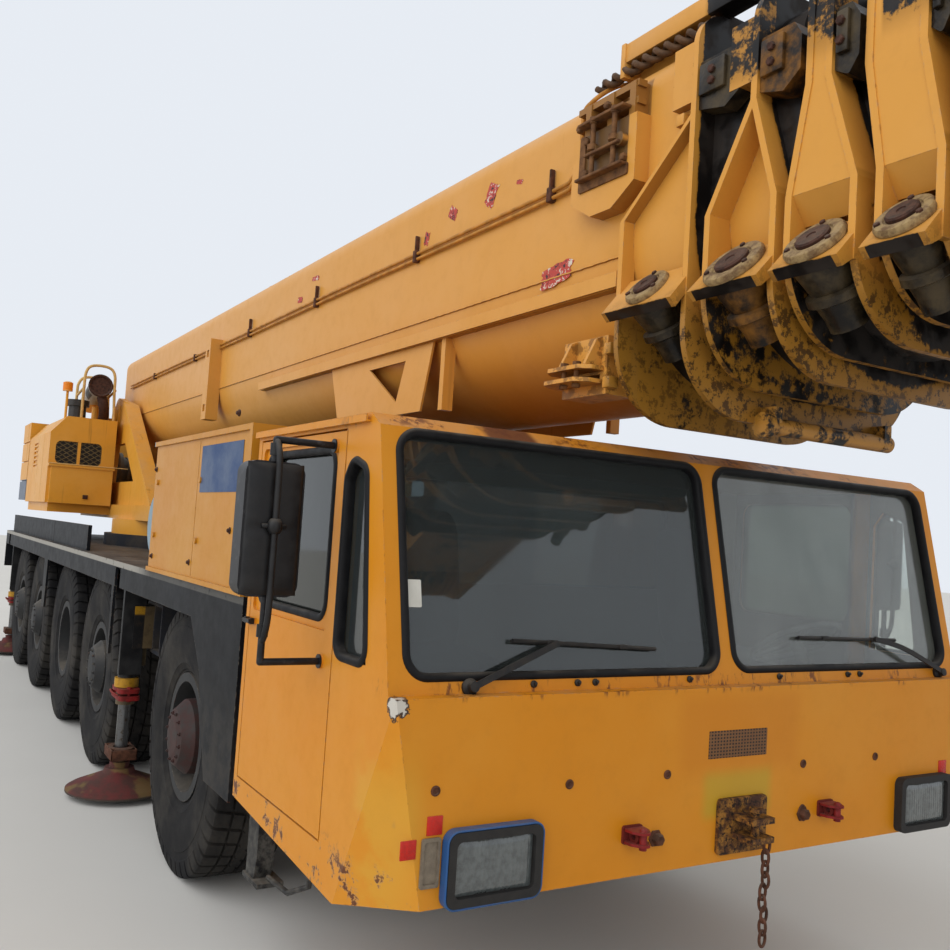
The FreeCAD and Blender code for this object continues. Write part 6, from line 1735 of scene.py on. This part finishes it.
class CRANE_OT_labels(bpy.types.Operator):
    """Bare patches and torn label scraps, each a thin sheet with a ragged outline."""
    bl_idname = "crane.labels"
    bl_label = "Labels left blank"

    def execute(self, context):
        chance = np.random.default_rng(11)
        torn = Shape()

        def scrap(back, z, long, tall, lean):
            """An outline of four sides broken into short steps, each point shifted at random."""
            corners = np.array([(-0.5, -0.5), (0.5, -0.5), (0.5, 0.5), (-0.5, 0.5)])
            share = np.linspace(0, 1, 7, endpoint=False)[None, :, None]
            sides = (corners[:, None] * (1 - share) + np.roll(corners, -1, axis=0)[:,
                    None] * share).reshape(-1, 2)
            sides = sides + chance.normal(0, 0.045, sides.shape)
            flat = sides * np.array([long, tall])
            c, s = math.cos(lean), math.sin(lean)
            flat = flat @ np.array([[c, s], [-s, c]])
            torn.add(*slab(flat + np.array([back, z]), 0.0012, side_plane(-(BOOM_HALF + 0.0006), -1.0)))

        for row in ((0.60, 3.065, 0.22, 0.085, -0.12), (1.83, 2.825, 0.20, 0.045, 0.05), (1.17, 3.565, 0.085,
                0.110, 0.55),
                    (1.54, 3.570, 0.085, 0.060, 0.5), (1.81, 3.500, 0.050, 0.065, 0.3), (0.93, 3.560, 0.050,
                0.020, 0.2),
                    (3.67, 3.500, 0.090, 0.040, 0.1), (3.40, 3.600, 0.120, 0.030, 0.1)):
            scrap(*row)
        torn.build("torn_labels", "torn_label", "boom_base", None, 30)
        loop = box_loop(1.72, 2.42, 2.075, 2.32, 0.004, 3)
        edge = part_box("side_boxes")[0].y + 0.014
        patch = Shape().add(*slab(loop, 0.0015, side_plane(edge - 0.001, -1.0)))
        patch.build("blue_patch", "blue_label", "carrier", None, 30)
        locks = Shape()
        for back, z in ((1.84, 2.455), (3.37, 1.690), (3.42, 2.220), (1.84, 1.890), (2.52, 1.700)):
            for sign, reach in ((-1, edge), (1, -edge)):
                locks.add(*lathe([(0.017, -0.004), (0.017, 0.003), (0.011, 0.005), (0.010, 0.012),
                                  (0.007, 0.015), (0.0005, 0.015)],
                                 (behind(back), reach, z), (0, sign, 0), 12))
        locks.build("box_locks", "cap_rust", "carrier")
        sticker = box_loop(-1.428, -1.352, 1.70, 1.79, 0.004, 3)
        Shape().add(*slab(sticker, 0.0006, lambda u, v, w: on_screen_plane(u, v, -0.0285 + w))).build(
            "screen_sticker", "white_label", "carrier", None, 30)
        return {"FINISHED"}


class CRANE_OT_stage(bpy.types.Operator):
    """A pale floor, soft studio light and the photograph's camera."""
    bl_idname = "crane.stage"
    bl_label = "Stage, light and camera"

    def execute(self, context):
        scene = context.scene
        w, shader = new_material("studio_floor")
        place = w.place()
        w.feed(shader.inputs["Base Color"], w.mix(w.noise(place, 0.8, 3, 0.5), (0.62, 0.62, 0.61),
                                                  (0.68, 0.68, 0.67)))
        shader.inputs["Roughness"].default_value = 0.9
        points = np.array([(-60, -60, 0), (60, -60, 0), (60, 60, 0), (-60, 60, 0)], float)
        mesh = bpy.data.meshes.new("studio_floor")
        mesh.from_pydata(points.tolist(), [], [[0, 1, 2, 3]])
        floor = bpy.data.objects.new("studio_floor", mesh)
        mesh.materials.append(bpy.data.materials["studio_floor"])
        scene.collection.objects.link(floor)

        world = bpy.data.worlds.new("studio")
        scene.world = world
        world.use_nodes = True
        w = Wiring(world.node_tree)
        background = world.node_tree.nodes["Background"]
        path = w.node("ShaderNodeLightPath")
        seen = w.most(path.outputs["Is Camera Ray"], path.outputs["Is Transmission Ray"])
        shown = w.most(seen, path.outputs["Is Glossy Ray"])
        w.feed(background.inputs["Strength"], w.blend(shown, 0.76, 1.0))
        w.feed(background.inputs["Color"], w.mix(shown, (0.86, 0.84, 0.80), (0.80, 0.84, 0.90)))

        def lamp(name, kind, place, aim, energy, size):
            data = bpy.data.lights.new(name, kind)
            data.energy = energy
            if kind == "AREA":
                data.shape = "RECTANGLE"
                data.size, data.size_y = size
            else:
                data.angle = size
            made = bpy.data.objects.new(name, data)
            made.location = place
            made.rotation_mode = "QUATERNION"
            made.rotation_quaternion = (Vector(aim) - Vector(place)).to_track_quat("-Z", "Y")
            scene.collection.objects.link(made)

        lamp("sky_sun", "SUN", (5, -15, 12), (2, 0, 1.5), 1.55, math.radians(70))
        lamp("front_fill", "AREA", (15, -3, 5), (3, 0, 2), 120, (9, 5))

        data = bpy.data.cameras.new("photo_camera")
        data.sensor_width = 36.0
        data.lens = CAMERA_LENS
        camera = bpy.data.objects.new("photo_camera", data)
        forward = Vector((math.cos(CAMERA_YAW) * math.cos(CAMERA_PITCH),
                          math.sin(CAMERA_YAW) * math.cos(CAMERA_PITCH),
                          math.sin(CAMERA_PITCH)))
        right = forward.cross(Vector((0, 0, 1))).normalized()
        up = right.cross(forward)
        turned_right = right * math.cos(CAMERA_ROLL) + up * math.sin(CAMERA_ROLL)
        turned_up = -right * math.sin(CAMERA_ROLL) + up * math.cos(CAMERA_ROLL)
        matrix = Matrix((turned_right, turned_up, -forward)).transposed().to_4x4()
        matrix.translation = Vector((FACE_X + CAMERA_AHEAD, CAMERA_Y, CAMERA_Z))
        camera.matrix_world = matrix
        data.clip_start, data.clip_end = 0.05, 300.0
        scene.collection.objects.link(camera)
        scene.camera = camera
        scene.view_settings.view_transform = "Standard"
        return {"FINISHED"}


class CraneColours(bpy.types.PropertyGroup):
    """The paints that a user would change."""
    orange: bpy.props.FloatVectorProperty(name="Cab orange",
                                          description="Paint of the cab, boxes and upper frame",
                                          subtype="COLOR", size=3, min=0.0, max=1.0, default=paint(206, 130,
            14))
    boom: bpy.props.FloatVectorProperty(name="Boom orange", description="Paint of the boom and its mouths",
                                        subtype="COLOR", size=3, min=0.0, max=1.0, default=paint(208, 148,
            62))


class CraneSizes(bpy.types.PropertyGroup):
    """The sizes that a user would change."""
    tread_depth: bpy.props.FloatProperty(name="Tread depth",
                                         description="Depth of the grooves between tread blocks",
                                         subtype="DISTANCE", unit="LENGTH", default=0.018, min=0.004,
                                         max=0.030)
    tread_blocks: bpy.props.IntProperty(name="Tread blocks",
                                        description="Blocks round each shoulder of a tyre",
                                        default=46, min=24, max=60)
    pipe_radius: bpy.props.FloatProperty(name="Pipe radius",
                                         description="Radius of the boom's hydraulic pipes",
                                         subtype="DISTANCE", unit="LENGTH", default=0.009, min=0.004,
                                         max=0.02)


OPERATORS = (CRANE_OT_finishes, CRANE_OT_tyres, CRANE_OT_wheel_nuts, CRANE_OT_window_seals,
             CRANE_OT_door_glass,
             CRANE_OT_wipers, CRANE_OT_front_fittings, CRANE_OT_mirrors, CRANE_OT_seats, CRANE_OT_boom_pipes,
             CRANE_OT_mouth_fittings, CRANE_OT_boom_fittings, CRANE_OT_jack_fittings,
             CRANE_OT_upper_fittings, CRANE_OT_tail_lamps,
             CRANE_OT_labels, CRANE_OT_stage)


class CRANE_PT_panel(bpy.types.Panel):
    """Lists the crane's pieces and its settings."""
    bl_label = "Crane"
    bl_idname = "CRANE_PT_panel"
    bl_space_type = "VIEW_3D"
    bl_region_type = "UI"
    bl_category = "Crane"

    def draw(self, context):
        for settings in (context.scene.crane_colours, context.scene.crane_sizes):
            for name in settings.__annotations__:
                self.layout.prop(settings, name)
        for operator in OPERATORS:
            self.layout.operator(operator.bl_idname)


CLASSES = (CraneColours, CraneSizes, *OPERATORS, CRANE_PT_panel)


def register():
    for one in CLASSES:
        bpy.utils.register_class(one)
    bpy.types.Scene.crane_colours = bpy.props.PointerProperty(type=CraneColours)
    bpy.types.Scene.crane_sizes = bpy.props.PointerProperty(type=CraneSizes)


def unregister():
    del bpy.types.Scene.crane_sizes
    del bpy.types.Scene.crane_colours
    for one in reversed(CLASSES):
        bpy.utils.unregister_class(one)


def main():
    """Builds every piece in order."""
    register()
    for operator in OPERATORS:
        kind, name = operator.bl_idname.split(".")
        getattr(getattr(bpy.ops, kind), name)()


if __name__ == "__main__":
    main()
